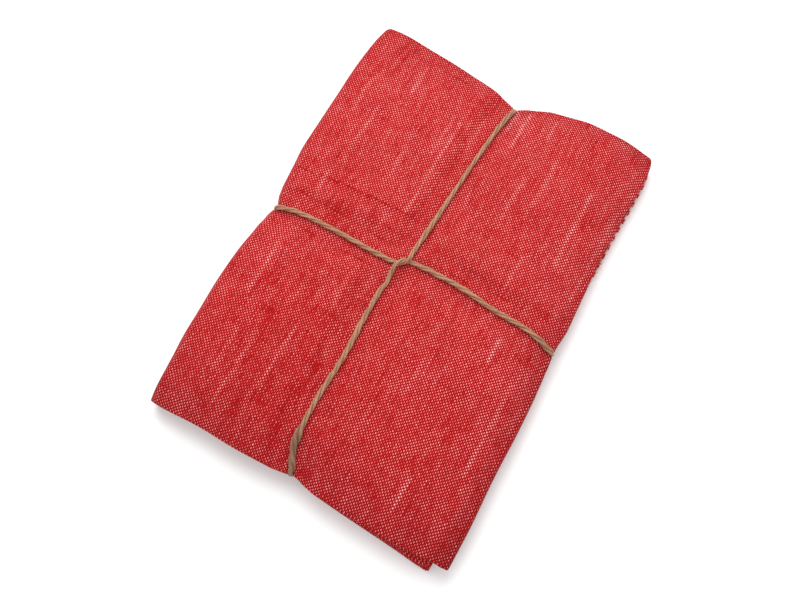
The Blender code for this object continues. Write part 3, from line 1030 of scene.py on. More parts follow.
def crossing():
    """Plan position where the twine's two lines cross beneath the packet."""
    x = y = 0.0
    for _ in range(CROSSING_STEPS):
        x = float(long_line(y))
        y = float(cross_line(x))
    return x, y


def knuckle(x, y):
    """One at the twine's crossing beneath the packet, falling to nothing a little way off."""
    middle_x, middle_y = crossing()
    away = max(math.hypot(x - middle_x, y - middle_y) - KNUCKLE_FLAT, 0.0) / KNUCKLE_REACH
    return (1 - away * away) ** 2 if away < 1 else 0.0


def over_cloth(x, y, lift):
    """A point of the twine's middle line on the packet's upper face."""
    radius = TWINE_RADIUS if lift is None else CROSSING_RADIUS
    rise = 2 * CROSSING_RADIUS * (lift or 0.0)
    return (x, y, float(topside(x, y)) + TWINE_CLEAR + radius + rise, radius)


def under_cloth(x, y, lifted):
    """A point of the twine's middle line beneath the packet."""
    squeeze = knuckle(x, y)
    radius = TWINE_RADIUS + (KNUCKLE_RADIUS - TWINE_RADIUS) * squeeze
    rise = (2 * KNUCKLE_RADIUS + TWINE_CLEAR) * squeeze if lifted else 0.0
    return (x, y, FLOOR_CLEAR + radius + rise, radius)


def round_edge(edge, edge_point, outwards):
    """The twine going down over an edge of the packet, from above it to below it."""
    x, y = edge_point
    step_x, step_y = outwards
    lean = TWINE_LEANS[edge]
    top = float(topside(x - step_x * EDGE_ROUNDING, y - step_y * EDGE_ROUNDING)) - EDGE_ROUNDING
    low = float(underside(x, y)) + EDGE_ROUNDING
    points = []
    for middle, angles in ((top, (90, 60, 30, 0)), (low, (0, -30, -60, -90))):
        for angle in np.radians(angles):
            out = -EDGE_ROUNDING + (EDGE_ROUNDING + EDGE_STAND_OFF[edge]) * math.cos(angle)
            rise = (EDGE_ROUNDING + TWINE_RADIUS + TWINE_CLEAR) * math.sin(angle)
            aside = lean * (1 - max(math.sin(angle), 0.0))
            place_x = x + step_x * out + abs(step_y) * aside
            place_y = y + step_y * out + abs(step_x) * aside
            points.append((place_x, place_y, middle + rise, TWINE_RADIUS))
    return points


def stretch(start, end):
    """Places about a twine step apart between two values, both left out."""
    count = round(abs(end - start) / TWINE_STEP)
    return [start + (end - start) * k / (count + 1) for k in range(1, count + 1)]


def on_long_line(y):
    return float(long_line(y)), y


def on_cross_line(x):
    return x, float(cross_line(x))


def along_top(start, end):
    return [over_cloth(*on_long_line(y), None) for y in stretch(start, end)]


def across_top(start, end):
    return [over_cloth(*on_cross_line(x), None) for x in stretch(start, end)]


def along_beneath(start, end):
    return [under_cloth(*on_long_line(y), True) for y in stretch(start, end)]


def across_beneath(start, end):
    return [under_cloth(*on_cross_line(x), False) for x in stretch(start, end)]


def twine_route():
    """The closed route of the twine's middle line, once round the packet each way."""
    far = float(far_edge(long_line(TWINE_ENDS["far"])))
    near = float(near_edge(long_line(TWINE_ENDS["near"])))
    left = float(left_edge(cross_line(TWINE_ENDS["left"])))
    right = float(right_edge(cross_line(TWINE_ENDS["right"]), False))
    route = along_top(FAR_TO_LEFT[0][1], far - EDGE_STOP)
    route += round_edge("far", on_long_line(far), (0, 1))
    route += along_beneath(far - EDGE_STOP, near + EDGE_STOP)
    route += reversed(round_edge("near", on_long_line(near), (0, -1)))
    route += along_top(near + EDGE_STOP, NEAR_TO_RIGHT[0][1])
    route += [over_cloth(*row) for row in NEAR_TO_RIGHT]
    route += across_top(NEAR_TO_RIGHT[-1][0], right - EDGE_STOP)
    route += round_edge("right", on_cross_line(right), (1, 0))
    route += across_beneath(right - EDGE_STOP, left + EDGE_STOP)
    route += reversed(round_edge("left", on_cross_line(left), (-1, 0)))
    route += across_top(left + EDGE_STOP, FAR_TO_LEFT[-1][0])
    route += [over_cloth(*row) for row in reversed(FAR_TO_LEFT)]
    return np.array(route)


# Thick places in the twine, as on spun jute: across, along, extra thickness, reach
LUMPS = (
    (-5.4, -105.0, 0.85, 4.2),
    (-1.5, -116.0, 0.42, 5.5),
    (79.0, -4.0, 0.14, 5.0),
    (-0.5, 62.0, -0.15, 34.0),
    (-48.0, -3.9, -0.08, 22.0),
    (-7.4, -44.0, 0.12, 5.0),
    (-2.6, 22.0, 0.14, 4.0),
    (2.8, 98.0, 0.12, 4.0),
    (30.0, 1.7, 0.16, 5.0),
    (-52.0, -3.9, 0.10, 4.0),
)
# The twine is fuller where it isn't pressed: extra thickness on top, and the height where that starts
FULLNESS = 0.11
LOW_PART = 4.0
PLIES = 3
PLY_OFFSET = 0.48
PLY_SIDES = 10
ROUTE_STEP = 0.9
SMOOTHING_ROUNDS = 3
# Chance of the plies: how far one strays round the twine, as an angle, and the points from one
# chance value to the next for that angle, for its swellings and for its finer swellings
PLY_STRAY = 0.22
STRAY_STEP = 14
SWELL_STEP = 9
FINE_SWELL_STEP = 3
PLY_SEED = 5


def fine_route():
    """The twine's route at even short steps, with its radius, as a closed line."""
    route = twine_route()
    padded = np.concatenate((route[-4:], route, route[:5]))
    steps = np.linalg.norm(np.diff(padded[:, :3], axis=0), axis=1)
    at = np.concatenate(([0.0], np.cumsum(steps)))
    start, end = at[4], at[4 + len(route)]
    count = round((end - start) / ROUTE_STEP)
    place = start + (end - start) * np.arange(count) / count
    fine = np.stack([smooth_rows(list(zip(at, padded[:, k])), place) for k in range(4)], axis=1)
    for _ in range(SMOOTHING_ROUNDS):
        fine = (np.roll(fine, 1, axis=0) + 2 * fine + np.roll(fine, -1, axis=0)) / 4
    on_top = smooth_step((fine[:, 2] - LOW_PART) / (LOOSE_HEIGHT / 2))
    swell = FULLNESS * on_top
    for across, along, extra, reach in LUMPS:
        away = np.hypot(fine[:, 0] - across, fine[:, 1] - along)
        swell += on_top * extra * np.exp(-((away / reach) ** 2))
    fine[:, 2] += swell * fine[:, 3]
    fine[:, 3] *= 1 + swell
    return fine


def carried_frame(points):
    """Directions across a closed line that turn with it and meet again at its start."""
    ahead = np.roll(points, -1, axis=0) - np.roll(points, 1, axis=0)
    ahead /= np.linalg.norm(ahead, axis=1, keepdims=True)
    side = np.zeros_like(points)
    side[0] = np.cross(ahead[0], (0.0, 0.0, 1.0))
    side[0] /= np.linalg.norm(side[0])
    for k in range(1, len(points)):
        carried = side[k - 1] - ahead[k] * np.dot(side[k - 1], ahead[k])
        side[k] = carried / np.linalg.norm(carried)
    back = side[-1] - ahead[0] * np.dot(side[-1], ahead[0])
    up = np.cross(ahead[0], side[0])
    turned = math.atan2(np.dot(back, up), np.dot(back, side[0]))
    return ahead, side, np.cross(ahead, side), turned


def chance_line(count, step, chance):
    """A smooth closed line of chance values between -1 and 1, one patch every so many points."""
    knots = max(count // step, 4)
    value = chance.uniform(-1, 1, knots)
    at = np.arange(count) * knots / count
    k = at.astype(int)
    t = smooth_step(at - k)
    return value[k % knots] * (1 - t) + value[(k + 1) % knots] * t


def ply_lines(route, lay, uneven):
    """Middle line and radius of each ply, wound round the twine's route."""
    points, radius = route[:, :3], route[:, 3]
    _, side, up, turned = carried_frame(points)
    count = len(points)
    length = np.linalg.norm(np.diff(points, axis=0, append=points[:1]), axis=1).sum()
    turns = round(length / lay)
    chance = np.random.default_rng(PLY_SEED)
    plies = []
    for ply in range(PLIES):
        share = np.arange(count) / count
        angle = 2 * math.pi * ply / PLIES - share * (2 * math.pi * turns + turned)
        angle = angle + PLY_STRAY * chance_line(count, STRAY_STEP, chance)
        offset = (radius * PLY_OFFSET)[:, None]
        line = points + offset * (np.cos(angle)[:, None] * side + np.sin(angle)[:, None] * up)
        swelling = chance_line(count, SWELL_STEP, chance)
        swelling = swelling + 0.5 * chance_line(count, FINE_SWELL_STEP, chance)
        plies.append((line, radius * (1 - PLY_OFFSET) * (1 + uneven * swelling)))
    return plies


def tube(line, thickness, sides):
    """Points and faces of a closed tube along a line."""
    ahead, side, up, turned = carried_frame(line)
    count = len(line)
    spin = -turned * np.arange(count) / count
    angle = spin[:, None] + 2 * math.pi * np.arange(sides)[None, :] / sides
    ring = np.cos(angle)[..., None] * side[:, None] + np.sin(angle)[..., None] * up[:, None]
    points = line[:, None] + thickness[:, None, None] * ring
    ids = np.arange(count * sides).reshape(count, sides)
    ids = np.concatenate((ids, ids[:1]))
    ids = np.concatenate((ids, ids[:, :1]), axis=1)
    return points.reshape(-1, 3), strip_faces(ids)


def twine_mesh(lay, uneven):
    """The twine's plies as closed tubes, with each point's ply and its share of the way out."""
    route = fine_route()
    plies = ply_lines(route, lay, uneven)
    points, faces, tints, outs = [], [], [], []
    total = 0
    for ply, (line, thickness) in enumerate(plies):
        ring_points, ring_faces = tube(line, thickness, PLY_SIDES)
        points.append(ring_points)
        faces.append(ring_faces + total)
        tints.append(np.full(len(ring_points), ply / (PLIES - 1)))
        middle = np.repeat(route[:, :3], PLY_SIDES, axis=0)
        outs.append(np.linalg.norm(ring_points - middle, axis=1) / np.repeat(route[:, 3], PLY_SIDES))
        total += len(ring_points)
    points = np.concatenate(points)
    # The darker lengths of the twine are painted shade, carried as a mark
    marks = {"tint": np.concatenate(tints), "out": np.concatenate(outs), "dull": twine_painted_shade(points)}
    return points, np.concatenate(faces), marks, plies


def twine_places(plies):
    """Place along each ply and round it, in metres, for every point of its tube."""
    places = []
    for line, thickness in plies:
        steps = np.linalg.norm(np.diff(line, axis=0, prepend=line[:1]), axis=1)
        along = np.cumsum(steps) * METRES
        around = np.arange(PLY_SIDES) / PLY_SIDES * 2 * math.pi * thickness.mean() * METRES
        grid = np.stack(np.broadcast_arrays(along[:, None], around[None, :]), axis=-1)
        places.append(grid.reshape(-1, 2))
    return np.concatenate(places)


def thread_faces(first, rings, sides):
    """Faces of a short thread closed at both ends, whose rings of points start at a number."""
    faces = []
    for ring in range(rings - 1):
        for side in range(sides):
            a = first + ring * sides + side
            b = first + ring * sides + (side + 1) % sides
            faces.append((a, b, b + sides, a + sides))
    for end in (first, first + (rings - 1) * sides):
        faces.append(tuple(end + side for side in range(sides)))
    return faces


HAIR_SIDES = 3
HAIR_RINGS = (0.0, 0.4, 0.75, 1.0)
HAIR_SEED = 23
# Loose fibres: the shortest as a share of the longest, and how much commoner short ones are
SHORTEST_HAIR = 0.25
SHORT_HAIRS = 1.5
# How far out of the ply a fibre starts, how far it bends aside, how steeply it rises at its root
# and how much more at its tip, how much it slows along the twine, and how much it tapers
HAIR_ROOT = 0.8
HAIR_BEND = 0.5
HAIR_RISE = 0.25
HAIR_TIP_RISE = 0.5
HAIR_SLOWING = 0.35
HAIR_TAPER = 0.75


def hair_mesh(count, longest, radius, plies):
    """Loose fibres that stand off the twine, each a thin tapering thread."""
    chance = np.random.default_rng(HAIR_SEED)
    points, faces = [], []
    for _ in range(count):
        line, thickness = plies[chance.integers(len(plies))]
        at = chance.integers(len(line))
        start = line[at]
        ahead = line[(at + 1) % len(line)] - line[at - 1]
        ahead = ahead / np.linalg.norm(ahead)
        out = np.cross(ahead, chance.normal(size=3))
        out = out / np.linalg.norm(out)
        if start[2] < LOOSE_HEIGHT / 2:
            out[2] = abs(out[2])
        lean = chance.choice((-1.0, 1.0)) * ahead
        length = longest * chance.uniform(SHORTEST_HAIR, 1.0) ** SHORT_HAIRS
        bend = np.cross(ahead, out) * chance.uniform(-HAIR_BEND, HAIR_BEND)
        root = start + out * thickness[at] * HAIR_ROOT
        across = np.cross(lean, out)
        faces += thread_faces(len(points), len(HAIR_RINGS), HAIR_SIDES)
        for share in HAIR_RINGS:
            lift = HAIR_RISE + HAIR_TIP_RISE * share
            way = lean * (1 - HAIR_SLOWING * share) + out * lift + bend * share
            place = root + length * share * way
            wide = radius * (1 - HAIR_TAPER * share)
            place[2] = max(place[2], FLOOR_CLEAR + wide)
            for side in range(HAIR_SIDES):
                angle = 2 * math.pi * side / HAIR_SIDES
                points.append(place + wide * (math.cos(angle) * out + math.sin(angle) * across))
    return np.array(points), faces


STITCH_RINGS = 7
STITCH_SIDES = 8
# How far a stitch is sunk into the edge, as a share of its radius, how far it stands out from the
# edge, and how high it rides on it
STITCH_SINK = 0.4
STITCH_OUT = -0.4
STITCH_RISE = 0.55
# Thickness of a stitch as a share of its width, and width of its ends as a share of its middle's
STITCH_FLATNESS = 0.6
STITCH_END = 0.45
# Ends of each hem that its stitches leave free, at the near and the far edge
STITCH_FREE = (6, 7)


def stitch_mesh(stitches):
    """White thread stitches along the four hem edges, each lying on the edge and sunk in at its ends."""
    half, radius = stitches["length"] / 2, stitches["radius"]
    points, faces = [], []
    count = int(2 * HALF_ALONG / stitches["pitch"])
    twine_at = cross_line(HALF_ACROSS)
    for level, side in HEM_STEP:
        angle = math.pi / 2 if side == "outer" else -math.pi / 2
        for k in range(-count // 2 - 1, count // 2 + 2):
            middle = stitches["start"] + k * stitches["pitch"]
            if not -HALF_ALONG + STITCH_FREE[0] < middle < HALF_ALONG - STITCH_FREE[1]:
                continue
            shares = np.linspace(-1, 1, STITCH_RINGS)
            y = middle + shares * half
            share_along = (y - twine_at) / (HALF_ALONG - np.sign(y) * twine_at)
            edge = flat_middle(level, side, np.ones((1, 1)), share_along[None, :], stitches)
            x, place_y, z, _, out_z, pitch = (value[0] for value in edge)
            z = z + out_z * math.sin(angle) * pitch / 2
            sunk = 1 - shares**4
            x = x + STITCH_OUT + radius * (sunk - STITCH_SINK)
            z = z + STITCH_RISE * sunk
            faces += thread_faces(len(points), STITCH_RINGS, STITCH_SIDES)
            for ring in range(STITCH_RINGS):
                fullness = math.sqrt(max(1 - shares[ring] ** 2, 0.0))
                wide = radius * (STITCH_END + (1 - STITCH_END) * fullness)
                for step in range(STITCH_SIDES):
                    turn = 2 * math.pi * step / STITCH_SIDES
                    rise = STITCH_FLATNESS * wide * math.sin(turn)
                    height = max(z[ring] + rise, FLOOR_CLEAR)
                    points.append((x[ring] + wide * math.cos(turn), place_y[ring], height))
    return np.array(points), faces


class Value:
    """A number that varies over a surface, so that a material's sums can be written as formulas."""

    def __init__(self, recipe, socket):
        self.recipe = recipe
        self.socket = socket

    def math(self, operation, *others):
        settings = {"operation": operation}
        sockets = {0: self}
        for k, other in enumerate(others):
            sockets[k + 1] = other
        return Value(self.recipe, self.recipe.node("ShaderNodeMath", settings, sockets).outputs[0])

    def __add__(self, other):
        return self.math("ADD", other)

    __radd__ = __add__

    def __sub__(self, other):
        return self.math("SUBTRACT", other)

    def __rsub__(self, other):
        return (self * -1.0) + other

    def __mul__(self, other):
        return self.math("MULTIPLY", other)

    __rmul__ = __mul__

    def __truediv__(self, other):
        return self.math("DIVIDE", other)

    def sine(self):
        return self.math("SINE")

    def floor(self):
        return self.math("FLOOR")

    def size(self):
        return self.math("ABSOLUTE")

    def sign(self):
        return self.math("SIGN")

    def larger(self, other):
        return self.math("MAXIMUM", other)


class Recipe:
    """A material being made: its nodes, and the few kinds of node that its formulas need."""

    def __init__(self, name, roughness):
        self.material = bpy.data.materials.new(name)
        self.material.use_nodes = True
        self.tree = self.material.node_tree
        self.shader = self.tree.nodes["Principled BSDF"]
        self.shader.inputs["Roughness"].default_value = roughness

    def node(self, kind, settings, sockets):
        """One node: its settings are set first, then its sockets by name or number."""
        made = self.tree.nodes.new(kind)
        for key, value in settings.items():
            setattr(made, key, value)
        for key, value in sockets.items():
            if isinstance(key, int):
                socket = made.inputs[key]
            else:
                socket = next(s for s in made.inputs if s.enabled and s.name == key)
            self.feed(socket, value)
        return made

    def feed(self, socket, value):
        if isinstance(value, Value):
            value = value.socket
        if isinstance(value, bpy.types.NodeSocket):
            self.tree.links.new(value, socket)
        elif socket.type == "VECTOR" and len(value) == 4:
            socket.default_value = value[:3]
        else:
            socket.default_value = value

    def paint(self, colour):
        self.feed(self.shader.inputs["Base Color"], colour)

    def raise_by(self, height, distance):
        self.feed(self.shader.inputs["Normal"], self.bump(height, distance))

    def set(self, values):
        """Even numbers set on the shader's own sockets."""
        for name, value in values.items():
            self.shader.inputs[name].default_value = value

    def place(self):
        """The two numbers of the surface's place, in metres."""
        spot = self.node("ShaderNodeUVMap", {"uv_map": "place"}, {}).outputs["UV"]
        parts = self.node("ShaderNodeSeparateXYZ", {}, {"Vector": spot})
        return Value(self, parts.outputs["X"]), Value(self, parts.outputs["Y"])

    def spot(self):
        """The place in space of the surface, as the object carries it, in metres."""
        return self.node("ShaderNodeTexCoord", {}, {}).outputs["Object"]

    def mark(self, name):
        """The number that the mesh carries under a name."""
        made = self.node("ShaderNodeAttribute", {"attribute_name": name}, {})
        return Value(self, made.outputs["Fac"])

    def vector(self, x, y, z=0.0):
        return self.node("ShaderNodeCombineXYZ", {}, {"X": x, "Y": y, "Z": z}).outputs["Vector"]

    def noise_at(self, spot, scale, detail=2.0, roughness=0.5):
        """Smooth noise from 0 to 1 at a vector, as a socket."""
        sockets = {"Vector": spot, "Scale": scale, "Detail": detail, "Roughness": roughness}
        return self.node("ShaderNodeTexNoise", {"noise_dimensions": "3D"}, sockets).outputs["Fac"]

    def noise(self, x, y, seed, detail=2.0, roughness=0.5):
        """Smooth noise from 0 to 1 at a pair of numbers."""
        return Value(self, self.noise_at(self.vector(x, y, seed), 1.0, detail, roughness))

    def thick_yarns(self, yarn, place, pitch, rows, origins, spread):
        """Extra thickness of chosen yarns between two places along each, dying away at both ends."""
        origin, other_origin = origins
        total = Value(self, self.node("ShaderNodeValue", {}, {}).outputs[0])
        for at, start, end, extra in rows:
            number = math.floor((origin + at) * METRES / pitch)
            start = (other_origin + start) * METRES
            end = (other_origin + end) * METRES
            fade = THICK_YARN_FADE * METRES
            same = self.ease((yarn - number).size(), spread, THICK_YARN_CORE)
            within = self.ease(place, start, start + fade) * self.ease(place, end, end - fade)
            total = total + same * within * extra
        return total

    def chance(self, x, y, seed):
        """A chance number from 0 to 1, the same wherever x and y are the same."""
        sockets = {"Vector": self.vector(x, y, seed)}
        made = self.node("ShaderNodeTexWhiteNoise", {"noise_dimensions": "3D"}, sockets)
        return Value(self, made.outputs["Value"])

    def ease(self, value, low, high):
        """Smooth rise from 0 at low to 1 at high."""
        sockets = {"Value": value, "From Min": low, "From Max": high, "To Min": 0.0, "To Max": 1.0}
        made = self.node("ShaderNodeMapRange", {"interpolation_type": "SMOOTHSTEP"}, sockets)
        return Value(self, made.outputs["Result"])

    def blend(self, share, first, second):
        """A colour between two others."""
        sockets = {"Factor": share, "A": first, "B": second}
        return self.node("ShaderNodeMix", {"data_type": "RGBA"}, sockets).outputs["Result"]

    def shade(self, colour, amount):
        """A colour made lighter or darker by a number."""
        sockets = {0: colour, "Scale": amount}
        return self.node("ShaderNodeVectorMath", {"operation": "SCALE"}, sockets).outputs["Vector"]

    def bump(self, height, distance):
        """The surface's direction where it rises and falls with a number."""
        sockets = {"Height": height, "Distance": distance, "Strength": 1.0}
        return self.node("ShaderNodeBump", {}, sockets).outputs["Normal"]


def rgba(colour):
    return (*colour, 1.0)


# How far a yarn rises where it passes over the other, as a share of its whole relief
YARN_LIFT = 0.55
# How fast the yarns change, to the yarn that they pass: their slubs, their straying along them and
# from one to the next, and their chance thick lengths
SLUB_RATE = 0.08
WANDER_RATES = (0.035, 0.09)
THICK_RATE = 0.03
# Chance thick lengths: limits of the noise between which they come in, and their extra thickness
THICK_WHITE = (0.66, 0.76, 0.35)
THICK_RED = (0.70, 0.82, 0.25)
# Detail and roughness of the slubs' noise
SLUB_NOISE = (2.0, 0.6)
# Redder and paler patches, and broader lighter ones: rate along and across, to the metre
PATCH_RATES = (120.0, 70.0)
MOTTLE_RATES = (38.0, 46.0)
# Light that the mottled face gives back: the least, and how much more in its lighter places
MOTTLE_LIGHT = (0.915, 0.14)
# How far one yarn has to lie over the other to hide it, and the height where the gaps end, below which
# the colour fades to a painted shade
LEAD = 0.25
GAP_HEIGHT = 0.75
# Fine fibre on the yarns: rate to the metre, and its height as a share of a yarn's
FIBRE_RATE = 4200.0
FIBRE_HEIGHT = 0.25


def cloth_material(cloth):
    """Plain weave of white yarns along the packet and red yarns across it, both uneven and slubby."""
    recipe = Recipe("slub cotton, red and white", 0.92)
    along, across = recipe.place()
    u = along / cloth.white_pitch
    w = across / cloth.red_pitch
    slow, fast = WANDER_RATES
    u = u + (recipe.noise(u * slow, w * fast, 3.0) - 0.5) * cloth.wander
    w = w + (recipe.noise(u * fast, w * slow, 8.0) - 0.5) * cloth.wander
    wave_u = (u * math.pi).sine()
    wave_w = (w * math.pi).sine()
    white_yarn = u.floor()
    red_yarn = w.floor()
    white_high = wave_u.sign() * wave_w * YARN_LIFT + wave_u.size() * (1 - YARN_LIFT)
    red_high = wave_w.sign() * wave_u * -YARN_LIFT + wave_w.size() * (1 - YARN_LIFT)
    white_slub = recipe.noise(white_yarn * 7.31, w * SLUB_RATE, 14.0, *SLUB_NOISE) - 0.5
    red_slub = recipe.noise(u * SLUB_RATE, red_yarn * 5.77, 21.0, *SLUB_NOISE) - 0.5
    start, full, extra_white = THICK_WHITE
    thick_white = recipe.ease(recipe.noise(white_yarn * 3.17, w * THICK_RATE, 51.0), start, full)
    start, full, extra_red = THICK_RED
    thick_red = recipe.ease(recipe.noise(u * THICK_RATE, red_yarn * 4.43, 61.0), start, full)
    top = 3 * HALF_ACROSS
    pale_yarn = recipe.thick_yarns(
        white_yarn, across, cloth.white_pitch, PALE_YARNS, (top, HALF_ALONG), PALE_YARN_SPREAD
    )
    deep_yarn = recipe.thick_yarns(
        red_yarn, along, cloth.red_pitch, RED_YARNS, (HALF_ALONG, top), RED_YARN_SPREAD
    )
    pale_yarn = pale_yarn + thick_white * extra_white
    deep_yarn = deep_yarn + thick_red * extra_red
    cell = recipe.chance(white_yarn, red_yarn, 2.0)
    speck = recipe.chance(white_yarn, red_yarn, 6.0)
    patch = recipe.noise(along * PATCH_RATES[0], across * PATCH_RATES[1], 31.0, 3.0, 0.55) - 0.5
    share = (white_slub - red_slub) * cloth.slub + patch * cloth.patches + (cell - 0.5) * 0.2
    share = share + recipe.mark("pale") + cloth.white_share - (1 - wave_u.size()) * cloth.thinness
    lead = white_high - red_high + share + pale_yarn - deep_yarn
    white = recipe.ease(lead, -LEAD, LEAD)
    height = white_high.larger(red_high)
    red_tone = 1.0 + red_slub * 0.7 + (speck - 0.5) * 0.2 - deep_yarn * 0.3
    red = recipe.shade(rgba(cloth.red), red_tone)
    whiteness = 0.2 + white_slub * 1.6 + (speck - 0.5) * 0.4 + pale_yarn * 0.9
    dot = recipe.blend(whiteness, rgba(cloth.pink), rgba(cloth.white))
    colour = recipe.blend(white, red, recipe.shade(dot, 0.9 + cell * 0.2))
    # Painted shade in the gaps between the yarns, where they sink: the red yarn darkened
    painted_gap_shade = recipe.shade(rgba(cloth.red), cloth.painted_gap_shade_tone)
    colour = recipe.blend(recipe.ease(height, 0.0, GAP_HEIGHT), painted_gap_shade, colour)
    mottle = recipe.noise(along * MOTTLE_RATES[0], across * MOTTLE_RATES[1], 37.0, 3.0)
    least, more = MOTTLE_LIGHT
    # Painted shade: the colour is darkened toward the packet's edges by a mark that the mesh carries
    recipe.paint(recipe.shade(colour, (least + mottle * more) * (1.0 - recipe.mark("dull"))))
    fibre = recipe.noise(along * FIBRE_RATE, across * FIBRE_RATE, 44.0)
    recipe.raise_by(height + fibre * FIBRE_HEIGHT, cloth.bump)
    recipe.set({"Sheen Weight": 0.03, "Sheen Roughness": 0.5, "Specular IOR Level": 0.04})
    recipe.material.diffuse_color = rgba(cloth.red)
    return recipe.material


# Height of the sewing thread's twist, in metres
THREAD_RELIEF = 0.00005


def thread_material(stitch):
    """Matt white cotton thread with a fine twist."""
    recipe = Recipe("white cotton thread", 0.8)
    parts = recipe.node("ShaderNodeSeparateXYZ", {}, {"Vector": recipe.spot()})
    x, y, z = (Value(recipe, parts.outputs[name]) for name in ("X", "Y", "Z"))
    twist = ((y * 9000.0) + (z * 7000.0) + (x * 5000.0)).sine()
    tone = 0.86 + twist * 0.1 + (recipe.noise(y * 900.0, z * 900.0, 3.0) - 0.5) * 0.3
    # The thread's colour carries painted red light, the glow that the cloth throws on it
    recipe.paint(recipe.shade(rgba(stitch.colour), tone))
    recipe.raise_by(twist, THREAD_RELIEF)
    recipe.material.diffuse_color = rgba(stitch.colour)
    return recipe.material


# Light in the furrows between the plies, as a share of that on their outer sides
FURROW_LIGHT = 0.72


def twine_material(twine):
    """Jute: long pale and dark fibres along each ply, with a fibrous surface."""
    recipe = Recipe("twisted jute", 0.88)
    along, around = recipe.place()
    ply = recipe.mark("tint")
    out = recipe.mark("out")
    across = around + along * 0.3
    streak = recipe.noise(along * 260.0, across * 5200.0, ply * 11.0 + 2.0, 3.0, 0.6)
    patch = recipe.noise(along * 120.0, across * 900.0, ply * 7.0 + 5.0, 3.0, 0.6)
    fleck = recipe.ease(recipe.noise(along * 500.0, across * 9000.0, ply * 5.0 + 9.0, 1.0), 0.62, 0.8)
    share = recipe.ease(streak * 0.65 + patch * 0.55, 0.38, 0.80)
    colour = recipe.blend(share, rgba(twine.dark), rgba(twine.light))
    colour = recipe.blend(fleck * 0.5, colour, rgba(twine.fleck))
    lit = FURROW_LIGHT + recipe.ease(out, 0.6, 0.95) * (1 - FURROW_LIGHT)
    # Painted shade: the colour is darkened in the furrows and along the twine's darker lengths
    recipe.paint(recipe.shade(colour, lit * (1.0 - recipe.mark("dull"))))
    recipe.raise_by(streak + patch * 0.5, twine.fibre_bump)
    recipe.set({"Sheen Weight": 0.1, "Specular IOR Level": 0.12, "Subsurface Weight": 0.4})
    recipe.set({"Subsurface Radius": (1.0, 0.7, 0.5), "Subsurface Scale": 0.001})
    recipe.material.diffuse_color = rgba(twine.light)
    return recipe.material


# Grain of the loose fibres and of the floor, in patches to the metre, and the tone of the floor's
# darker patches as a share of its colour
HAIR_GRAIN = 300.0
FLOOR_GRAIN = 6.0
FLOOR_DULLNESS = 0.985


def hair_material(twine):
    """Pale loose jute fibres."""
    recipe = Recipe("loose jute fibres", 0.7)
    grain = recipe.noise_at(recipe.spot(), HAIR_GRAIN)
    recipe.paint(recipe.blend(grain, rgba(twine.dark), rgba(twine.light)))
    recipe.material.diffuse_color = rgba(twine.light)
    return recipe.material


def floor_material(stage):
    """A plain pale matt floor with the faintest unevenness."""
    recipe = Recipe("pale floor", 0.9)
    grain = recipe.noise_at(recipe.spot(), FLOOR_GRAIN, 3.0)
    dull = tuple(FLOOR_DULLNESS * part for part in stage.floor)
    recipe.paint(recipe.blend(grain, rgba(dull), rgba(stage.floor)))
    recipe.set({"Specular IOR Level": 0.1})
    return recipe.material


class ClothSettings(bpy.types.PropertyGroup):
    white_pitch: bpy.props.FloatProperty(
        name="White yarn pitch",
        description="Distance between the white yarns, which run along the packet",
        default=0.00096,
        min=0.0003,
        max=0.005,
        unit="LENGTH",
        precision=5,
    )
    red_pitch: bpy.props.FloatProperty(
        name="Red yarn pitch",
        description="Distance between the red yarns, which run across the packet",
        default=0.00094,
        min=0.0003,
        max=0.005,
        unit="LENGTH",
        precision=5,
    )
    white: bpy.props.FloatVectorProperty(
        name="White yarn",
        description="Colour of the palest places of the white yarns",
        default=(1.0, 0.44, 0.43),
        min=0.0,
        max=1.0,
        subtype="COLOR",
    )
    pink: bpy.props.FloatVectorProperty(
        name="White yarn in red",
        description="Colour of the white yarns where they sink between red ones",
        default=(0.95, 0.15, 0.15),
        min=0.0,
        max=1.0,
        subtype="COLOR",
    )
    red: bpy.props.FloatVectorProperty(
        name="Red yarn",
        description="Colour of the red yarns",
        default=(0.38, 0.0050, 0.0062),
        min=0.0,
        max=1.0,
        subtype="COLOR",
    )
    slub: bpy.props.FloatProperty(
        name="Slub",
        description="How much the yarns swell and thin along their length",
        default=0.85,
        min=0.0,
        max=4.0,
    )
    thinness: bpy.props.FloatProperty(
        name="Thin white yarn",
        description="How much narrower than its pitch each white yarn is",
        default=0.7,
        min=0.0,
        max=3.0,
    )
    wander: bpy.props.FloatProperty(
        name="Wander",
        description="How far the yarns stray sideways, in yarn widths",
        default=1.4,
        min=0.0,
        max=12.0,
    )
    patches: bpy.props.FloatProperty(
        name="Patches",
        description="How much the cloth's face changes between redder and paler patches",
        default=0.7,
        min=0.0,
        max=4.0,
    )
    # Painted shade: how dark the gaps between the yarns are painted
    painted_gap_shade_tone: bpy.props.FloatProperty(
        name="Gap tone",
        description="Lightness of the gaps between the yarns, as a share of the red yarn's",
        default=0.55,
        min=0.0,
        max=1.0,
    )
    white_share: bpy.props.FloatProperty(
        name="White share",
        description="More or less of the white yarns on the face of the cloth",
        default=-0.70,
        min=-1.0,
        max=1.0,
    )
    bump: bpy.props.FloatProperty(
        name="Weave relief",
        description="Height of the yarns over the gaps between them",
        default=0.00022,
        min=0.0,
        max=0.002,
        unit="LENGTH",
        precision=5,
    )


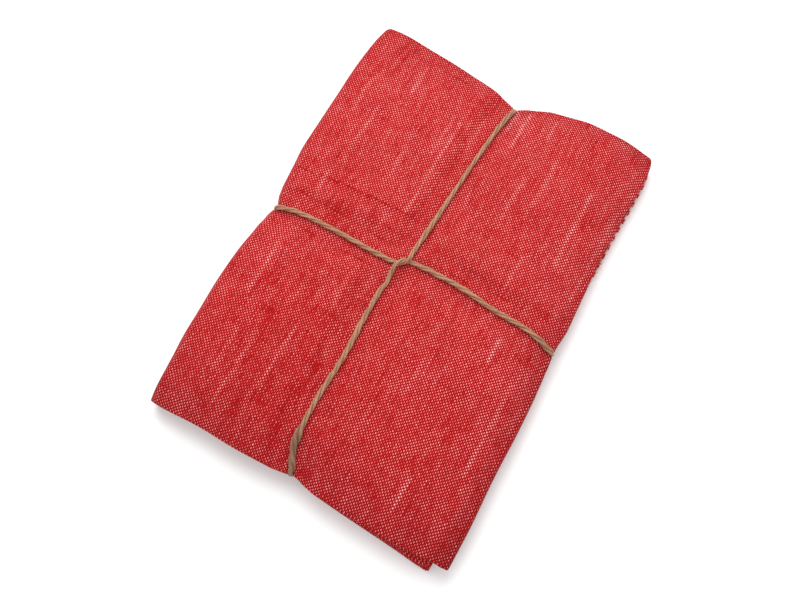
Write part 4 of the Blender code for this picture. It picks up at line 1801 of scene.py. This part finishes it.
class StitchSettings(bpy.types.PropertyGroup):
    pitch: bpy.props.FloatProperty(
        name="Stitch pitch",
        description="Distance from one hem stitch to the next",
        default=0.0064,
        min=0.002,
        max=0.02,
        unit="LENGTH",
        precision=4,
    )
    length: bpy.props.FloatProperty(
        name="Stitch length",
        description="Length of thread that shows on the hem's edge",
        default=0.0036,
        min=0.001,
        max=0.01,
        unit="LENGTH",
        precision=4,
    )
    radius: bpy.props.FloatProperty(
        name="Thread width",
        description="Half the width of a stitch of the doubled sewing thread",
        default=0.0008,
        min=0.0001,
        max=0.002,
        unit="LENGTH",
        precision=5,
    )
    pull: bpy.props.FloatProperty(
        name="Stitch pull",
        description="How far each stitch draws the hem's edge in",
        default=0.0003,
        min=0.0,
        max=0.002,
        unit="LENGTH",
        precision=5,
    )
    start: bpy.props.FloatProperty(
        name="First stitch",
        description="Place of one stitch along the packet, which the others are counted from",
        default=0.0466,
        unit="LENGTH",
        precision=4,
    )
    # The thread is white: this colour is tinted pink as painted light, the red glow that the cloth throws
    # on it
    colour: bpy.props.FloatVectorProperty(
        name="Thread",
        description="Colour of the sewing thread",
        default=(0.86, 0.61, 0.58),
        min=0.0,
        max=1.0,
        subtype="COLOR",
    )


class TwineSettings(bpy.types.PropertyGroup):
    lay: bpy.props.FloatProperty(
        name="Lay",
        description="Length of twine in which a ply goes once round",
        default=0.0225,
        min=0.004,
        max=0.08,
        unit="LENGTH",
        precision=4,
    )
    uneven: bpy.props.FloatProperty(
        name="Unevenness",
        description="How much the plies swell and thin, as a share of their thickness",
        default=0.13,
        min=0.0,
        max=0.4,
    )
    light: bpy.props.FloatVectorProperty(
        name="Light fibre",
        description="Colour of the light jute fibres",
        default=(0.52, 0.285, 0.172),
        min=0.0,
        max=1.0,
        subtype="COLOR",
    )
    dark: bpy.props.FloatVectorProperty(
        name="Dark fibre",
        description="Colour of the dark jute fibres",
        default=(0.29, 0.138, 0.071),
        min=0.0,
        max=1.0,
        subtype="COLOR",
    )
    fleck: bpy.props.FloatVectorProperty(
        name="Fleck",
        description="Colour of the palest fibres",
        default=(0.66, 0.44, 0.29),
        min=0.0,
        max=1.0,
        subtype="COLOR",
    )
    fibre_bump: bpy.props.FloatProperty(
        name="Fibre relief",
        description="Height of the fibres on a ply's surface",
        default=0.00018,
        min=0.0,
        max=0.001,
        unit="LENGTH",
        precision=5,
    )
    hairs: bpy.props.IntProperty(
        name="Loose fibres",
        description="Number of loose fibres that stand off the twine",
        default=1100,
        min=0,
        max=6000,
    )
    hair_length: bpy.props.FloatProperty(
        name="Fibre length",
        description="Length of the longest loose fibre",
        default=0.0042,
        min=0.0,
        max=0.02,
        unit="LENGTH",
        precision=4,
    )
    hair_radius: bpy.props.FloatProperty(
        name="Fibre radius",
        description="Half the thickness of a loose fibre",
        default=0.00004,
        min=0.00001,
        max=0.0005,
        unit="LENGTH",
        precision=5,
    )


class StageSettings(bpy.types.PropertyGroup):
    floor: bpy.props.FloatVectorProperty(
        name="Floor",
        description="Colour of the floor",
        default=(0.93, 0.93, 0.93),
        min=0.0,
        max=1.0,
        subtype="COLOR",
    )
    lens: bpy.props.FloatProperty(
        name="Lens",
        description="Focal length of the camera, in millimetres",
        default=32.0,
        min=10.0,
        max=200.0,
    )
    azimuth: bpy.props.FloatProperty(
        name="Camera azimuth",
        description="Direction of the camera round the packet",
        default=math.radians(30.0),
        subtype="ANGLE",
    )
    elevation: bpy.props.FloatProperty(
        name="Camera elevation",
        description="Height of the camera over the floor, as an angle",
        default=math.radians(74.5),
        subtype="ANGLE",
    )
    distance: bpy.props.FloatProperty(
        name="Camera distance",
        description="Distance of the camera from the place that it looks at",
        default=0.3816,
        min=0.05,
        max=5.0,
        unit="LENGTH",
    )
    target: bpy.props.FloatVectorProperty(
        name="Camera target",
        description="Place that the camera looks at",
        default=(0.00194, -0.01455, 0.0),
        subtype="XYZ",
        unit="LENGTH",
        precision=5,
    )
    key: bpy.props.FloatProperty(
        name="Window light",
        description="Power of the large soft light at the upper left",
        default=7.2,
        min=0.0,
        max=200.0,
        unit="POWER",
    )
    fill: bpy.props.FloatProperty(
        name="Fill light",
        description="Power of the weak light from the opposite side",
        default=1.4,
        min=0.0,
        max=200.0,
        unit="POWER",
    )
    ambient: bpy.props.FloatProperty(
        name="Ambient light",
        description="Strength of the even light from all round",
        default=0.84,
        min=0.0,
        max=5.0,
    )


def stitch_sizes(stitch):
    """The hem stitches' sizes in millimetres."""
    names = ("pitch", "length", "radius", "pull", "start")
    return {name: getattr(stitch, name) / METRES for name in names}


class TEATOWEL_OT_stitches(bpy.types.Operator):
    """Make the white stitches along the hems"""

    bl_idname = "tea_towel.stitches"
    bl_label = "Hem Stitches"

    def execute(self, context):
        stitch = context.scene.tea_towel_stitch
        points, faces = stitch_mesh(stitch_sizes(stitch))
        stitches = mesh_object("hem_stitches", points, faces, thread_material(stitch))
        return {"FINISHED"}


class TEATOWEL_OT_towel(bpy.types.Operator):
    """Make the folded towel with its creases and weave"""

    bl_idname = "tea_towel.towel"
    bl_label = "Towel"

    def execute(self, context):
        stitches = bpy.data.objects.get("hem_stitches")
        if stitches is None:
            raise RuntimeError("the hem stitches have to be made before the towel")
        points, faces, places = towel_mesh(stitch_sizes(context.scene.tea_towel_stitch))
        material = cloth_material(context.scene.tea_towel_cloth)
        # The mesh carries the paler places, and the painted shade toward the edges, as marks
        marks = {"pale": paleness(points), "dull": edge_painted_shade(points)}
        towel = mesh_object("folded_towel", points, faces, material, places, marks)
        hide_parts("towel")
        return {"FINISHED"}


class TEATOWEL_OT_twine(bpy.types.Operator):
    """Make the loop of three-ply jute twine and its loose fibres"""

    bl_idname = "tea_towel.twine"
    bl_label = "Twine"

    def execute(self, context):
        settings = context.scene.tea_towel_twine
        points, faces, marks, plies = twine_mesh(settings.lay / METRES, settings.uneven)
        places = twine_places(plies)
        material = twine_material(settings)
        twine = mesh_object("jute_twine", points, faces, material, places, marks)
        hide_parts("twine")
        longest, radius = settings.hair_length / METRES, settings.hair_radius / METRES
        points, faces = hair_mesh(settings.hairs, longest, radius, plies)
        fuzz = mesh_object("twine_fuzz", points, faces, hair_material(settings))
        return {"FINISHED"}


class TEATOWEL_OT_stage(bpy.types.Operator):
    """Make the floor, the lights and the camera"""

    bl_idname = "tea_towel.stage"
    bl_label = "Stage"

    def execute(self, context):
        stage = context.scene.tea_towel_stage
        make_floor(stage)
        make_lights(context.scene, stage)
        make_camera(context.scene, stage)
        context.scene.view_settings.view_transform = "Standard"
        return {"FINISHED"}


FLOOR_HALF = 3.0


def make_floor(stage):
    data = bpy.data.meshes.new("floor")
    corners = [(-FLOOR_HALF, -FLOOR_HALF, 0), (FLOOR_HALF, -FLOOR_HALF, 0)]
    corners += [(FLOOR_HALF, FLOOR_HALF, 0), (-FLOOR_HALF, FLOOR_HALF, 0)]
    data.from_pydata(corners, [], [(0, 1, 2, 3)])
    data.materials.append(floor_material(stage))
    floor = bpy.data.objects.new("floor", data)
    bpy.context.collection.objects.link(floor)


LIGHTS = (
    # name, setting that holds its power, direction to it, distance, width
    ("window", "key", (-0.36, 0.46, 0.82), 0.95, 0.7),
    ("fill", "fill", (0.75, -0.45, 0.80), 1.3, 1.1),
)


def make_lights(scene, stage):
    for name, power, direction, distance, width in LIGHTS:
        data = bpy.data.lights.new(name, "AREA")
        data.shape = "SQUARE"
        data.size = width
        data.energy = getattr(stage, power)
        light = bpy.data.objects.new(name, data)
        towards = Vector(direction).normalized()
        light.location = towards * distance
        light.rotation_mode = "QUATERNION"
        light.rotation_quaternion = (-towards).to_track_quat("-Z", "Y")
        bpy.context.collection.objects.link(light)
    world = bpy.data.worlds.new("studio")
    world.use_nodes = True
    world.node_tree.nodes["Background"].inputs["Color"].default_value = (1.0, 1.0, 1.0, 1.0)
    world.node_tree.nodes["Background"].inputs["Strength"].default_value = stage.ambient
    scene.world = world


def make_camera(scene, stage):
    data = bpy.data.cameras.new("camera")
    data.lens = stage.lens
    data.sensor_width = 36.0
    data.clip_start = 0.01
    camera = bpy.data.objects.new("camera", data)
    azimuth, elevation = stage.azimuth, stage.elevation
    back = Vector(
        (
            math.sin(azimuth) * math.cos(elevation),
            -math.cos(azimuth) * math.cos(elevation),
            math.sin(elevation),
        )
    )
    camera.location = Vector(stage.target) + back * stage.distance
    camera.rotation_mode = "QUATERNION"
    camera.rotation_quaternion = (-back).to_track_quat("-Z", "Y")
    bpy.context.collection.objects.link(camera)
    scene.camera = camera


class TEATOWEL_PT_panel(bpy.types.Panel):
    """Lists the towel's pieces and their settings"""

    bl_label = "Tea Towel"
    bl_idname = "TEATOWEL_PT_panel"
    bl_space_type = "VIEW_3D"
    bl_region_type = "UI"
    bl_category = "Tea Towel"

    def draw(self, context):
        for operator, settings in PANEL_ROWS:
            box = self.layout.box()
            box.operator(operator.bl_idname)
            group = getattr(context.scene, settings)
            for name in group.__annotations__:
                box.prop(group, name)


PANEL_ROWS = (
    (TEATOWEL_OT_stitches, "tea_towel_stitch"),
    (TEATOWEL_OT_towel, "tea_towel_cloth"),
    (TEATOWEL_OT_twine, "tea_towel_twine"),
    (TEATOWEL_OT_stage, "tea_towel_stage"),
)
SETTINGS = (
    ("tea_towel_cloth", ClothSettings),
    ("tea_towel_stitch", StitchSettings),
    ("tea_towel_twine", TwineSettings),
    ("tea_towel_stage", StageSettings),
)


def register():
    for name, group in SETTINGS:
        bpy.utils.register_class(group)
        setattr(bpy.types.Scene, name, bpy.props.PointerProperty(type=group))
    for operator, _ in PANEL_ROWS:
        bpy.utils.register_class(operator)
    bpy.utils.register_class(TEATOWEL_PT_panel)


def unregister():
    bpy.utils.unregister_class(TEATOWEL_PT_panel)
    for operator, _ in reversed(PANEL_ROWS):
        bpy.utils.unregister_class(operator)
    for name, group in reversed(SETTINGS):
        delattr(bpy.types.Scene, name)
        bpy.utils.unregister_class(group)


def main():
    register()
    bpy.ops.tea_towel.stitches()
    bpy.ops.tea_towel.towel()
    bpy.ops.tea_towel.twine()
    bpy.ops.tea_towel.stage()


if __name__ == "__main__":
    main()
